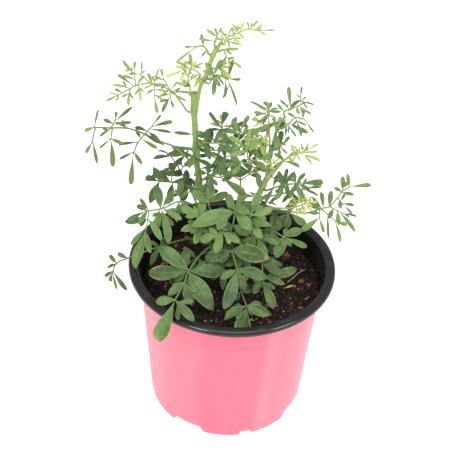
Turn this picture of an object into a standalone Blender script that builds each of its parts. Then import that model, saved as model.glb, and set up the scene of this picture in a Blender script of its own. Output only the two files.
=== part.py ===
"""A potted rue: a small herb in a two-layer plastic nursery pot.

The origin is on the pot's axis, at the bottom of its feet. +Z is up and -Y is the front.
"""
import math

import bmesh
import bpy
import numpy as np
from mathutils.bvhtree import BVHTree

MM = 0.001
GAP = 0.3                      # between pieces that rest on each other, in mm like all sizes below

# The pot's driving sizes
RIM_RADIUS = 60.0
RIM_ROLL = 6.0                 # width of the rolled rim
POT_HEIGHT = 99.0
FOOT_RADIUS = 46.4
SHOULDER_Z = 78.5              # a small step, where stacked pots rest on each other
SHOULDER_RADIUS = 52.4
SHOULDER_STEP = 0.5
WALL_TOP_Z = 93.0
WALL_TOP_RADIUS = 54.0
LAYER = 0.6                    # thickness of each plastic layer
FLOOR_Z = 5.0                  # the floor plate stands this high between the feet
FOOT_WIDTH = 8.0
FOOT_CORNER = 0.8              # cut off the foot's outer corner, and off that of the lining inside it
LINING_CORNER = 2.0
TURNS = 32                     # sides of everything turned
WIDE_NOTCH = (25.0, 4.7)       # degrees, mm high
NARROW_NOTCH = (9.4, 3.5)
FIRST_WIDE_NOTCH = 62.5        # degrees from the front, towards +X
FIRST_NARROW_NOTCH = 17.0
DRAIN_HOLE = 3.5               # radius

# The soil and what stands in it
SOIL_Z = 86.0
SOIL_ROOM = 0.4                # between the soil and the black layer
CROWN = (-8.0, 12.0)
CROWN_RADIUS = 4.2
CROWN_DEPTH = 14.0

# The leaves
BLADE = 0.7                    # thickness of leaflets and leaf stalks
STALK_WIDTH = 1.1
NODE_LENGTH = 1.2              # stretch of a stalk that one leaflet grows from
CLEAR = 0.35                   # room that a new leaflet keeps around itself
ELBOW = 2.0                    # a leaf stalk leaves its stem straight for this far

TONES = {
    "old": (0.13, 0.27, 0.085),
    "mid": (0.19, 0.36, 0.09),
    "young": (0.36, 0.55, 0.09),
}

# Stems: points along each one with the radius there
STEMS = {
    "main": [(-8, 12, 73, 3.0), (-9, 12, 88, 2.4), (-14, 12, 107, 1.9), (-18, 12, 125, 1.7),
             (-20, 12, 140, 1.6), (-23, 12, 160, 1.6), (-24, 12, 178, 1.6), (-25, 12, 193, 1.7),
             (-25, 12, 202.5, 2.0)],
    "shoot": [(-24, 12, 190, 1.1), (-22, 12, 206, 1.0), (-19, 11, 214, 1.0), (-17, 11, 222, 1.1),
              (-15, 11, 228, 1.0), (-12, 12, 233, 0.6)],
    "right": [(-8, 12, 82, 2.2), (-6, 12, 92, 2.1), (1, 12, 107, 1.9), (9, 12, 128, 1.7), (13, 11, 140, 1.7),
              (17, 10, 153, 1.5)],
    "branch": [(16, 10, 149, 1.0), (17, 10, 163, 0.9), (18, 9, 170, 0.9), (19, 9, 180, 0.8),
               (21, 9, 192, 0.7)],
    "fork": [(15, 10, 148, 1.1), (20, 9, 159, 0.9), (24, 6, 166, 0.8), (28, 3, 172, 0.6)],
}

# Clay pellets and bark that lie half sunk in the soil: x, y, radius
PELLETS = [(38, 9, 2.2), (31, 22, 2.0), (44, 4, 1.8), (-27, 33, 2.2), (-30, -24, 2.0), (15, -31, 2.4),
           (24, -26, 2.0), (-12, 40, 2.0)]


def frond(name, stem, height, tone, length, width, nodes, facing=(0, 50)):
    """One compound leaf. It leaves the stem at a height, and runs through its nodes.

    A node is a point with the leaflets and side stalks that grow there, each as its direction in the
    leaf's own plane in degrees, its length, and what it carries: 0 for a single leaflet, a number of
    pairs of leaflets, or a list of rows of its own. A fourth number is the width of its end leaflet.
    """
    return dict(name=name, stem=stem, height=height, tone=tone, length=length, width=width, nodes=nodes,
                facing=facing)


FRONDS = [
    frond("leaf_top_left", "main", 192, "mid", 6.5, 1.7, [
        ((-32, 7, 200), []),
        ((-37, 4, 208), [(53, 6, 0, 1.2), (0, 9, 0, 1.6), (328, 9, 0, 1.5), (217, 4, 0, 1.4),
                         (279, 4, [(243, 9, 0, 2.2), (195, 5, 0), (291, 5, 0)]),
                         (122, 6, [(188, 7, 0, 2.0), (105, 6, 0), (160, 6, 0)])]),
        ((-46, 0, 214), [(80, 9, 0, 1.4), (117, 6, 0), (205, 5, 0, 1.3),
                         (142, 7, [(92, 7, 0, 1.3), (183, 6, 0)]),
                         (274, 6, [(279, 9, 0, 2.2), (350, 6, 0, 1.5), (217, 4, 0), (325, 5, 0)])]),
        ((-54, -3, 214), [(100, 7, [(134, 9, 0, 2.0), (88, 6, 0), (161, 6, 0)]), (60, 6, 0, 1.6),
                          (144, 11, 0, 1.9), (283, 8, 0, 1.6)]),
        ((-57, -5, 213), [(165, 9, 0, 1.7), (264, 8, 0, 1.6)]),
        ((-61, -6, 211), [(150, 4, 0), (211, 8, 0, 1.5)])]),
    frond("leaf_left", "main", 160, "old", 8.0, 2.0, [
        ((-35, 6, 172), []),
        ((-42, 4, 176), []),
        ((-50, 0, 183), [(334, 11, 0, 2.6),
                         (55, 6, [(353, 11, 0, 1.8), (309, 9, 0, 2.0), (54, 7, 0, 1.3), (159, 7, 0),
                                  (25, 11, 0)]),
                         (236, 6, [(193, 10, 0, 2.0), (328, 10, 0, 2.0), (119, 6, 0),
                                   (255, 6, [(269, 16, 0, 3.0), (213, 8, 0, 1.6), (309, 7, 0)])])]),
        ((-58, -12, 194), [(160, 7, 0, 1.6)]),
        ((-65, -20, 199), [(71, 5, [(41, 11, 0), (159, 5, 0), (90, 4, 0), (10, 9, 0)]), (216, 7, 0, 1.5),
                           (267, 6, [(231, 7, 0, 1.4), (337, 7, 0, 2.0), (285, 14, 0, 2.9)])]),
        ((-72, -28, 204), [(82, 9, 0, 1.2), (262, 8, [(284, 11, 0, 1.7), (245, 6, 0)]), (205, 5, 0)])]),
    frond("leaf_crown_left", "shoot", 226, "old", 5.0, 1.6, [
        ((-19, 9, 230), [(240, 4, 0, 1.3)]),
        ((-21, 9, 232), [(98, 7, 0, 1.8)]),
        ((-25, 8, 232), [(173, 5, 0), (221, 12, 0, 1.5)])]),
    frond("leaf_crown_top", "shoot", 230, "old", 5.0, 1.8, [
        ((-15, 9, 235), [(176, 8, 0, 1.6)]),
        ((-14, 8, 239), [(108, 4, 0, 1.5), (150, 6, 0), (62, 4, 0, 1.2)])]),
    frond("leaf_crown_drooping", "shoot", 213, "old", 6.0, 1.8, [
        ((-14, 8, 216), [(270, 10, 0, 2.6), (322, 6, 0, 1.2)]),
        ((-8, 4, 217), [(84, 10, 0, 2.4), (125, 5, 0), (357, 6, 0, 1.6), (274, 9, 0, 1.6),
                        (297, 14, 0, 1.6)])]),
    frond("leaf_crown_right", "shoot", 229, "mid", 6.0, 1.8, [
        ((-11, 8, 231), [(1, 8, 0, 1.8)]),
        ((-9, 7, 228), [(258, 5, 0, 1.9), (327, 9, 0, 1.7)])]),
    frond("whorl_right", "shoot", 219, "young", 5.0, 1.5, [
        ((-12, 7, 221), [(325, 9, 0, 2.6), (45, 5, 0), (5, 5, 0)])]),
    frond("whorl_left", "shoot", 210, "young", 5.0, 1.4, [
        ((-22, 9, 215), [(254, 7, 0, 1.9)]),
        ((-26, 8, 219), [(101, 8, 0, 2.0), (40, 6, 0)]),
        ((-29, 7, 220), [(145, 7, 0, 1.7), (208, 11, 0, 1.7), (237, 7, 0, 1.3), (175, 5, 0)])]),
    frond("shoot_tip", "shoot", 233, "young", 4.5, 1.2, [
        ((-9, 11, 236), [(130, 6, 0), (72, 6, 0), (345, 7, 0, 1.4), (175, 5, 0)]),
        ((-6, 11, 238), [(55, 7, 0), (312, 7, 0)]),
        ((-3, 11, 240), [(125, 6, 0), (75, 5, 0, 1.5), (322, 4, 0)]),
        ((2, 11, 242), [(95, 4, 0), (53, 6, 0, 1.3)]),
        ((5, 10, 242), [(42, 5, 0), (5, 9, 0, 1.1)])]),
    frond("shoot_side", "main", 202, "young", 5.0, 1.4, [
        ((-27, 9, 208), [(163, 7, 0, 1.8)]),
        ((-28, 8, 212), [(212, 5, 0, 2.0), (30, 6, 0)]),
        ((-28, 8, 215), [(75, 5, 0), (340, 4, 0), (120, 5, 0, 1.6)])]),
    frond("leaf_right_top_left", "branch", 187, "old", 6.0, 1.9, [
        ((18, 7, 193), [(262, 3, [(212, 15, 0, 3.0), (307, 6, 0, 1.5)])]),
        ((15, 6, 195), [(104, 4, [(157, 10, 0, 1.3), (200, 7, 0, 1.3), (125, 4, 0, 1.8), (70, 4, 0, 1.7),
                                  (3, 6, 0)]),
                        (175, 8, 0, 2.1), (211, 8, 0, 2.1)])]),
    frond("leaf_right_top", "branch", 191, "mid", 7.0, 1.9, [
        ((23, 10, 195), [(128, 6, 0, 1.7)]),
        ((26, 12, 196), [(97, 12, 0, 2.5), (135, 7, 0, 1.7), (50, 7, [(90, 8, 0, 1.3), (356, 8, 0, 1.3)]),
                         (18, 5, [(328, 9, 0, 1.5), (280, 4, 0)])])], facing=(0, 60)),
    frond("leaf_right_top_low", "branch", 172, "old", 7.0, 2.2, [
        ((22, 5, 176), [(88, 9, 0, 3.2), (52, 7, 0, 2.0), (270, 5, 0, 2.1), (318, 5, 0, 1.6), (176, 5, 0)])]),
    frond("shoot_fork", "fork", 171, "young", 5.5, 1.3, [
        ((31, 0, 175), [(125, 5, 0), (300, 4, 0)]),
        ((34, 0, 177), [(145, 7, 0, 1.4), (100, 5, 0), (62, 5, 0), (30, 8, 0), (5, 10, 0, 1.2),
                        (345, 11, 0, 1.9)])]),
    frond("shoot_fork_low", "fork", 160, "young", 5.0, 1.3, [
        ((18, 1, 165), []),
        ((18, -1, 169), [(105, 6, 0), (160, 5, 0), (40, 5, 0)])]),
    frond("shoot_centre", "branch", 167, "young", 5.5, 1.9, [
        ((14, 6, 173), [(195, 6, 0), (85, 7, 0), (275, 6, 0)]),
        ((11, 4, 178), [(55, 8, 0), (300, 5, 0), (215, 6, 0)]),
        ((8, 2, 182), [(180, 5, 0), (125, 6, 0), (230, 5, 0), (70, 6, 0)])]),
    frond("leaf_centre_left", "main", 138, "old", 8.0, 2.2, [
        ((-16, 17, 149), [(35, 14, 1)]),
        ((-12, 20, 156), [(15, 16, 1), (150, 13, 1)]),
        ((-9, 23, 165), [(10, 17, 2), (165, 14, 1)]),
        ((-10, 26, 172), [(128, 12, 0, 1.8), (75, 12, 0, 3.0), (20, 14, 1), (180, 9, 0)])], facing=(0, 60)),
    frond("leaf_centre", "right", 118, "old", 8.0, 2.2, [
        ((2, 14, 134), []),
        ((2, 12, 148), [(35, 14, 1), (150, 13, 1)]),
        ((-1, 10, 161), [(20, 16, 1), (160, 15, 1)]),
        ((-1, 8, 173), [(15, 15, 2), (165, 13, 1)]),
        ((0, 7, 182), [(115, 9, 0), (65, 10, 0), (20, 10, 0), (165, 9, 0)])]),
    frond("leaf_centre_right", "right", 146, "old", 8.0, 2.3, [
        ((11, 4, 159), [(165, 13, 1), (290, 9, 0)]),
        ((6, -2, 170), [(15, 12, 1), (190, 13, 1)]),
        ((4, -8, 182), [(40, 10, 0), (90, 10, 0), (145, 11, 0), (200, 9, 0)])]),
    frond("leaf_middle", "main", 147, "old", 10.0, 3.6, [
        ((-15, 4, 155), [(25, 17, 0, 4.4), (285, 12, 0, 4.0)]),
        ((-9, -1, 158), [(75, 11, 0, 3.6), (15, 15, 0, 4.4), (328, 15, 0, 4.4)])]),
    frond("leaf_shoulder", "main", 169, "old", 9.0, 3.0, [
        ((-18, 5, 176), [(80, 8, 0), (290, 9, 0)]),
        ((-13, 1, 179), [(60, 9, 0, 2.6), (10, 12, 0, 3.2), (335, 12, 0, 3.4)])]),
    frond("leaf_shoulder_left", "main", 164, "old", 8.0, 2.4, [
        ((-29, 15, 161), [(150, 9, 0), (185, 10, 0, 2.8), (228, 8, 0, 2.6)])]),
    frond("leaf_right_high", "right", 144, "old", 7.0, 2.0, [
        ((20, 3, 150), [(238, 8, 0, 1.9), (73, 8, 0, 1.7)]),
        ((26, -3, 157), [(114, 8, 0, 2.1), (87, 9, 0, 1.7), (60, 9, 0, 1.9), (250, 9, 0, 2.2),
                         (296, 8, 0, 2.2)]),
        ((32, -8, 162), [(103, 6, 0, 1.9), (55, 7, 0, 2.0), (4, 13, 0, 2.7), (335, 7, 0, 1.7),
                         (297, 8, 0, 2.2), (250, 8, 0, 1.9)])]),
    frond("leaf_right_low", "right", 137, "old", 7.0, 2.0, [
        ((23, 13, 138), [(230, 7, 0, 1.9), (67, 8, 0, 1.7)]),
        ((31, 17, 138), [(113, 8, 0, 1.8), (239, 8, 0, 2.4), (300, 8, 0, 2.1), (50, 8, 0, 1.7)]),
        ((38, 20, 138), [(12, 10, 0, 2.4), (347, 9, 0, 2.0), (70, 7, 0, 1.5), (270, 7, 0, 1.9)])],
          facing=(0, 60)),
    frond("shoot_right", "right", 132, "young", 5.5, 1.5, [
        ((27, 5, 135), []),
        ((34, 3, 138), [(125, 6, 0), (160, 5, 0), (325, 7, 0, 1.6)]),
        ((38, 2, 141), [(125, 6, 0, 1.6), (88, 6, 0), (45, 6, 0), (8, 6, 0), (328, 6, 0), (285, 5, 0)])]),
    frond("leaf_far_right", "right", 127, "old", 7.0, 2.1, [
        ((28, 12, 128), []),
        ((40, 12, 127), []),
        ((49, 13, 130), [(98, 10, 0, 2.6), (135, 8, 0, 2.3), (165, 7, 0, 2.8),
                         (272, 5, [(181, 7, 0, 2.5), (292, 8, 0, 2.0), (224, 14, 0, 3.4)]),
                         (322, 11, [(271, 13, 0, 1.6), (292, 12, 0, 2.0), (344, 6, 0, 2.6)])]),
        ((54, 17, 129), [(80, 9, 0, 3.0),
                         (335, 8, [(242, 6, 0, 2.8), (357, 8, 0, 1.5), (308, 13, 0, 2.6),
                                   (282, 8, 0, 2.8)])]),
        ((58, 20, 133), [(312, 5, [(65, 6, 0, 1.8), (352, 6, 0, 2.0), (314, 7, 0, 1.6), (282, 5, 0, 2.2)])]),
        ((61, 24, 135), [(88, 8, 0, 2.8), (157, 5, 0), (352, 7, 0, 2.2)]),
        ((65, 27, 136), [(95, 8, 0, 2.3), (8, 12, 0, 2.8)])]),
    frond("leaf_low_left", "main", 129, "mid", 9.0, 3.4, [
        ((-31, 2, 138), [(92, 12, 0, 3.2), (320, 9, 0, 2.4), (264, 11, 0, 2.8)]),
        ((-41, -4, 137), [(105, 14, 0, 4.6), (66, 12, 0, 3.0), (264, 11, 0, 3.2), (292, 19, 0, 4.2),
                          (333, 12, 0, 3.0)]),
        ((-48, -8, 138), [(265, 10, [(189, 12, 0, 3.6), (309, 13, 0, 3.4), (259, 22, 0, 5.6),
                                     (232, 12, 0, 2.6)]),
                          (131, 8, 0, 2.0), (212, 12, 0, 2.5), (241, 9, 0, 2.5), (160, 6, 0)])]),
    frond("leaf_low_left_back", "main", 138, "old", 8.0, 3.2, [
        ((-29, 13, 142), [(85, 9, 0), (280, 9, 0)]),
        ((-37, 17, 140), [(90, 12, 1, 3.8), (262, 12, 0, 3.4), (5, 13, 0, 3.8), (150, 11, 0, 3.4)]),
        ((-44, 20, 138), [(118, 9, 0), (255, 14, 0, 3.8), (170, 8, 0)])], facing=(0, 60)),
    frond("leaf_trailing", "main", 103, "old", 4.5, 2.2, [
        ((-25, 4, 110), []),
        ((-42, -1, 107), [(250, 11, 0, 3.2), (295, 11, 0, 3.0), (40, 9, 0, 4.2), (150, 6, 0)]),
        ((-60, -8, 103), [(155, 6, 0, 2.8)]),
        ((-66, -10, 100), [(134, 6, 0, 2.5), (207, 5, 0, 2.2)]),
        ((-68, -12, 95), [(220, 5, 0, 2.3), (308, 13, 0, 2.6), (285, 9, 0, 1.5), (258, 4, 0)])]),
    frond("leaf_front", "main", 101, "mid", 12.0, 6.0, [
        ((-13, 2, 107), []),
        ((-18, -8, 109), []),
        ((-24, -22, 108), [(145, 21, 0, 8.0), (186, 22, 0, 7.4), (2, 21, 0, 8.0), (308, 25, 0, 8.8)]),
        ((-26, -31, 107), [(225, 11, 0, 4.0), (290, 13, 0, 5.0)]),
        ((-30, -44, 106), [(192, 10, 0, 4.8), (255, 24, 0, 8.0), (310, 16, 0, 4.4)])]),
    frond("leaf_centre_front", "right", 101, "mid", 10.0, 4.2, [
        ((-3, 2, 116), []),
        ((-1, -4, 128), [(330, 10, 0, 4.0), (215, 11, 0, 4.0)]),
        ((0, -4, 138), [(200, 25, 0, 6.2), (120, 10, 0, 3.6), (70, 11, 0, 4.0), (25, 13, 0, 4.6),
                        (330, 14, 0, 5.0)])]),
    frond("leaf_front_right", "right", 96, "mid", 12.0, 5.0, [
        ((-4, -4, 105), []),
        ((-1, -12, 116), [(357, 21, 0, 8.6), (200, 15, 0, 6.0)]),
        ((3, -25, 113), [(348, 17, 0, 5.6), (215, 10, 0, 4.0), (255, 22, 0, 6.6), (300, 10, 0, 4.0)])]),
    frond("leaf_front_low", "right", 99, "mid", 10.0, 4.6, [
        ((3, -10, 100), []),
        ((6, -26, 98), [(40, 6, 0, 4.4), (225, 9, 0, 4.0)]),
        ((9, -38, 99), [(212, 14, 0, 5.0), (340, 14, 0, 5.2), (262, 16, 0, 8.4)])], facing=(0, 65)),
    frond("leaf_right_front", "right", 92, "mid", 10.0, 4.2, [
        ((5, 2, 100), []),
        ((16, -11, 108), [(100, 10, 0, 4.0), (345, 12, 0, 4.2), (318, 13, 0, 4.2)]),
        ((17, -20, 104), [(10, 21, 0, 4.8), (285, 18, 0, 4.6), (235, 10, 0, 4.0)])], facing=(10, 60)),
    frond("leaf_right_back", "right", 105, "mid", 9.0, 4.0, [
        ((14, 6, 117), [(100, 10, 0, 4.0), (285, 10, 0, 4.2)]),
        ((21, 2, 121), [(75, 10, 0, 4.0), (295, 12, 0, 4.6)]),
        ((28, -2, 120), [(344, 14, 0, 2.6), (255, 12, 0, 4.6), (25, 11, 0, 4.0)])]),
    frond("leaf_right_middle", "right", 117, "mid", 9.0, 4.2, [
        ((21, 15, 123), []),
        ((31, 13, 126), [(222, 19, 0, 6.2), (320, 11, 0, 4.0), (75, 9, 0)])]),
    frond("leaf_back_left", "main", 118, "old", 9.0, 2.8, [
        ((-26, 24, 129), [(80, 13, 1), (200, 12, 1)]),
        ((-33, 33, 137), [(75, 14, 1), (195, 13, 1)]),
        ((-39, 40, 142), [(70, 10, 0), (200, 10, 0), (130, 12, 0)])], facing=(0, 100)),
    frond("leaf_back", "main", 126, "old", 9.0, 2.8, [
        ((-14, 26, 140), [(50, 13, 1), (140, 13, 1)]),
        ((-11, 36, 150), [(40, 14, 1), (150, 14, 1)]),
        ((-10, 49, 158), [(50, 10, 0), (140, 10, 0), (95, 15, 0)])], facing=(0, 100)),
    frond("leaf_back_right", "right", 112, "old", 9.0, 2.8, [
        ((12, 26, 124), [(110, 13, 1), (350, 12, 1)]),
        ((20, 36, 134), [(115, 14, 1), (345, 14, 1)]),
        ((27, 44, 140), [(120, 10, 0), (340, 10, 0), (50, 12, 0)])], facing=(0, 100)),
    frond("leaf_back_high", "branch", 160, "old", 7.5, 2.3, [
        ((17, 18, 168), [(50, 12, 1), (150, 12, 1)]),
        ((16, 26, 176), [(40, 12, 1), (140, 12, 1)]),
        ((15, 32, 181), [(45, 9, 0), (135, 9, 0), (90, 10, 0)])], facing=(0, 100)),
    frond("leaf_shoot_sheath", "shoot", 211, "mid", 7.0, 2.2, [
        ((-17, 5, 213), []),
        ((-16, 4, 216), [(62, 11, 0, 2.4), (112, 9, 0, 2.2), (15, 8, 0, 2.0)])]),
    frond("leaf_inner_left", "main", 107, "mid", 10.0, 4.0, [
        ((-17, 0, 118), []),
        ((-18, -5, 128), [(200, 12, 0), (325, 12, 0), (255, 12, 0)]),
        ((-19, -8, 134), [(150, 12, 0), (25, 12, 0), (88, 12, 0)])]),
    frond("leaf_inner", "right", 110, "mid", 10.0, 4.0, [
        ((-4, 0, 121), []),
        ((-7, -9, 127), [(205, 12, 0), (155, 12, 0), (335, 12, 0), (262, 12, 0), (35, 12, 0), (95, 10, 0)])]),
    frond("leaf_inner_right", "right", 115, "mid", 10.0, 4.0, [
        ((8, 2, 126), []),
        ((8, -6, 134), [(345, 12, 0), (310, 12, 0)]),
        ((9, -9, 140), [(150, 11, 0), (20, 12, 0), (75, 12, 0)])]),
    frond("leaf_inner_high", "main", 114, "mid", 10.0, 4.0, [
        ((-12, 3, 124), []),
        ((-14, 1, 134), [(195, 11, 0), (340, 12, 0)]),
        ((-15, -1, 141), [(150, 11, 0), (35, 12, 0), (85, 10, 0)])]),
    frond("leaf_inner_low", "right", 107, "mid", 10.0, 4.0, [
        ((8, 2, 114), []),
        ((13, -4, 120), [(350, 12, 0), (300, 12, 0), (215, 11, 0), (140, 9, 0)])]),
    frond("leaf_inner_broad", "main", 110, "old", 10.0, 4.0, [
        ((-11, 4, 116), []),
        ((-11, 0, 119), [(176, 15, 0, 7.4), (108, 10, 0, 5.0), (12, 12, 0, 6.0), (262, 9, 0)])]),
    frond("leaf_low_front", "right", 92, "old", 10.0, 4.0, [
        ((-4, -4, 98), []),
        ((-5, -9, 103), [(178, 12, 0, 4.6), (232, 11, 0, 4.6), (268, 14, 0, 3.6), (205, 9, 0)])]),
    frond("leaf_low_middle", "right", 95, "mid", 9.0, 3.6, [
        ((3, 1, 101), []),
        ((5, -5, 106), [(262, 12, 0, 3.6), (300, 11, 0, 3.6), (215, 10, 0, 3.4), (345, 10, 0)])]),
    frond("leaf_low_right", "right", 100, "mid", 9.0, 4.0, [
        ((12, 2, 108), []),
        ((15, -3, 112), [(308, 13, 0, 4.6), (258, 10, 0, 3.8), (20, 10, 0, 4.0), (345, 12, 0, 3.6)])]),
    frond("leaf_low_inner_left", "main", 97, "old", 9.0, 3.6, [
        ((-17, 1, 102), []),
        ((-21, -6, 104), [(150, 9, 0), (215, 11, 0, 4.0), (255, 11, 0, 4.0), (320, 10, 0)])]),
    frond("leaf_right_top_right", "branch", 186, "mid", 7.0, 1.9, [
        ((25, 6, 190), [(335, 11, 0, 2.6), (300, 8, 0, 1.4), (262, 5, 0, 1.4)]),
        ((29, 8, 193), [(291, 11, 0, 1.8), (150, 5, 0, 1.7)]),
        ((33, 9, 192), [(82, 6, 0, 1.7), (311, 9, 0, 1.2)])], facing=(0, 60)),
]


def unit(vector):
    """A vector of length 1 in the same direction."""
    return vector / np.linalg.norm(vector)


def wall_radius(z):
    """Outer radius of the pink wall: two straight cones, with a step at the shoulder between them."""
    if z < SHOULDER_Z:
        return FOOT_RADIUS + (SHOULDER_RADIUS - FOOT_RADIUS) * z / SHOULDER_Z
    rise = (z - SHOULDER_Z) / (WALL_TOP_Z - SHOULDER_Z)
    low = SHOULDER_RADIUS + SHOULDER_STEP
    return low + (WALL_TOP_RADIUS - low) * rise


def soil_height(x, y):
    """The soil's surface: a few long waves, a low mound round the crown, and a hollow along the wall."""
    radius = math.hypot(x, y)
    waves = 0.9 * math.sin(0.13 * x + 0.7) * math.cos(0.11 * y - 0.4) + 0.5 * math.sin(0.31 * x - 0.27 * y)
    mound = 1.2 * math.exp(-((x - CROWN[0]) ** 2 + (y - CROWN[1]) ** 2) / 500)
    return SOIL_Z + waves + mound - 1.5 * max(0.0, (radius - 40) / 10) ** 2


def material(name, colour, roughness, metallic=0.0):
    """A plain Principled material."""
    result = bpy.data.materials.new(name)
    result.use_nodes = True
    shader = result.node_tree.nodes["Principled BSDF"]
    shader.inputs["Base Color"].default_value = (*colour, 1.0)
    shader.inputs["Roughness"].default_value = roughness
    shader.inputs["Metallic"].default_value = metallic
    return result


def new_object(name, mesh, collection):
    """An object for a mesh, in a collection."""
    result = bpy.data.objects.new(name, mesh)
    collection.objects.link(result)
    return result


def as_cutter(tool):
    """Hides a cutter from renders and draws it as wire."""
    tool.hide_render = True
    tool.display_type = "WIRE"
    return tool


def turned(name, profile, collection):
    """A wire profile of (radius, z) in mm, turned round the Z axis."""
    mesh = bpy.data.meshes.new(name)
    points = [(radius * MM, 0, z * MM) for radius, z in profile]
    mesh.from_pydata(points, [(i, i + 1) for i in range(len(points) - 1)], [])
    result = new_object(name, mesh, collection)
    screw = result.modifiers.new("Turn", "SCREW")
    screw.steps = screw.render_steps = TURNS
    screw.use_merge_vertices = True
    screw.merge_threshold = 0.00001
    return result


def subtract(piece, cutters):
    """Cuts a collection of tools out of a piece."""
    cut = piece.modifiers.new("Cut", "BOOLEAN")
    cut.operation = "DIFFERENCE"
    cut.operand_type = "COLLECTION"
    cut.collection = cutters


def notch_cutter(name, middle, angle, height, collection):
    """A wedge with sloping sides that opens the foot ring, at an angle from the front."""
    half = math.radians(angle / 2)
    inner, outer = (FOOT_RADIUS - FOOT_WIDTH - 3) * MM, (FOOT_RADIUS + 4) * MM
    mesh = bpy.data.meshes.new(name)
    body = bmesh.new()
    rows = []
    for z, widening in ((-1.0, 1.15), (height, 0.8)):
        turns = [math.radians(middle) - half * widening, math.radians(middle) + half * widening]
        corners = [(inner, turns[0]), (outer, turns[0]), (outer, turns[1]), (inner, turns[1])]
        rows.append([body.verts.new((r * math.sin(t), -r * math.cos(t), z * MM)) for r, t in corners])
    body.faces.new(rows[0])
    body.faces.new(rows[1])
    for i in range(4):
        body.faces.new((rows[0][i], rows[0][i - 1], rows[1][i - 1], rows[1][i]))
    bmesh.ops.recalc_face_normals(body, faces=body.faces)
    body.to_mesh(mesh)
    body.free()
    return as_cutter(new_object(name, mesh, collection))


def drain_cutter(name, x, y, collection):
    """An upright rod through the floor plate."""
    mesh = bpy.data.meshes.new(name)
    body = bmesh.new()
    bmesh.ops.create_cone(body, cap_ends=True, segments=12, radius1=DRAIN_HOLE * MM, radius2=DRAIN_HOLE * MM,
                          depth=4 * FLOOR_Z * MM)
    bmesh.ops.translate(body, verts=body.verts, vec=(x * MM, y * MM, FLOOR_Z * MM))
    body.to_mesh(mesh)
    body.free()
    return as_cutter(new_object(name, mesh, collection))


def pot_cutters(collection):
    """The notches between the feet, four wide and four narrow, and the drain holes in the floor."""
    for quarter in range(4):
        wide, narrow = FIRST_WIDE_NOTCH + 90 * quarter, FIRST_NARROW_NOTCH + 90 * quarter
        notch_cutter(f"wide_notch_{quarter}", wide, *WIDE_NOTCH, collection)
        notch_cutter(f"narrow_notch_{quarter}", narrow, *NARROW_NOTCH, collection)
        turn = math.radians(45 + 90 * quarter)
        drain_cutter(f"drain_{quarter}", 22 * math.cos(turn), 22 * math.sin(turn), collection)


def pot_profile(corner):
    """A face from the wall's top edge down to the foot ring, whose outer corner is cut off, and in."""
    foot_inner = FOOT_RADIUS - FOOT_WIDTH
    return [(WALL_TOP_RADIUS, WALL_TOP_Z), (SHOULDER_RADIUS + SHOULDER_STEP, SHOULDER_Z + 0.8),
            (SHOULDER_RADIUS, SHOULDER_Z - 0.6), (wall_radius(corner), corner),
            (FOOT_RADIUS - 0.8 * corner, 0.0), (foot_inner, 0.0), (foot_inner - 1, FLOOR_Z), (8.0, FLOOR_Z)]


def inset(profile, distance):
    """A profile moved inwards by a distance, with each corner moved along the bisector of its two sides."""
    points = np.array(profile, float)
    sides = np.diff(points, axis=0)
    normals = np.stack([sides[:, 1], -sides[:, 0]], axis=1) / np.linalg.norm(sides, axis=1)[:, None]
    before, after = np.vstack([normals[:1], normals]), np.vstack([normals, normals[-1:]])
    middle = before + after
    scale = distance / (1 + np.sum(before * after, axis=1))
    return [tuple(point) for point in points + middle * scale[:, None]]


def pink_layer(collection, cutters):
    """The outer layer: wall, foot ring and floor plate, one open shell with a thickness."""
    result = turned("pot_pink_layer", pot_profile(FOOT_CORNER), collection)
    shell = result.modifiers.new("Thickness", "SOLIDIFY")
    shell.thickness = LAYER * MM
    shell.offset = -1.0
    shell.use_even_offset = True
    subtract(result, cutters)
    result.data.materials.append(material("pink_plastic", (0.95, 0.25, 0.36), 0.4))
    return result


def black_layer(collection, cutters):
    """The inner layer: it lines the pink one, and rolls outwards at the top into the rim."""
    outer, middle, inner = RIM_RADIUS, RIM_RADIUS - RIM_ROLL / 2, RIM_RADIUS - RIM_ROLL
    lining = inset(pot_profile(LINING_CORNER), 2 * LAYER + GAP)
    lip = [(outer - 0.3, POT_HEIGHT - 3.3), (outer, POT_HEIGHT - 2.0), (middle + 1.8, POT_HEIGHT - 0.3),
           (middle - 1.6, POT_HEIGHT - 0.2), (inner, POT_HEIGHT - 1.8), (lining[0][0], WALL_TOP_Z + 1.2)]
    result = turned("pot_black_layer", lip + lining[1:], collection)
    shell = result.modifiers.new("Thickness", "SOLIDIFY")
    shell.thickness = LAYER * MM
    shell.offset = 1.0
    shell.use_even_offset = True
    subtract(result, cutters)
    result.data.materials.append(material("black_plastic", (0.02, 0.02, 0.022), 0.42))
    return result


def soil_side_radius(z):
    """Radius of the soil next to the black layer, no wider than the pot is under its shoulder."""
    return wall_radius(min(z, SHOULDER_Z - 1)) - 2 * LAYER - GAP - SOIL_ROOM


def pellet(collection, number, x, y, radius):
    """A clay pellet or bark chip, half sunk in the soil, to be joined to it."""
    mesh = bpy.data.meshes.new(f"pellet_{number}")
    body = bmesh.new()
    bmesh.ops.create_icosphere(body, subdivisions=1, radius=radius * MM)
    bmesh.ops.scale(body, verts=body.verts, vec=(1.0, 0.8, 0.75))
    place = (x * MM, y * MM, (soil_height(x, y) + 0.2 * radius) * MM)
    bmesh.ops.translate(body, verts=body.verts, vec=place)
    body.to_mesh(mesh)
    body.free()
    return as_cutter(new_object(f"pellet_{number}", mesh, collection))


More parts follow.
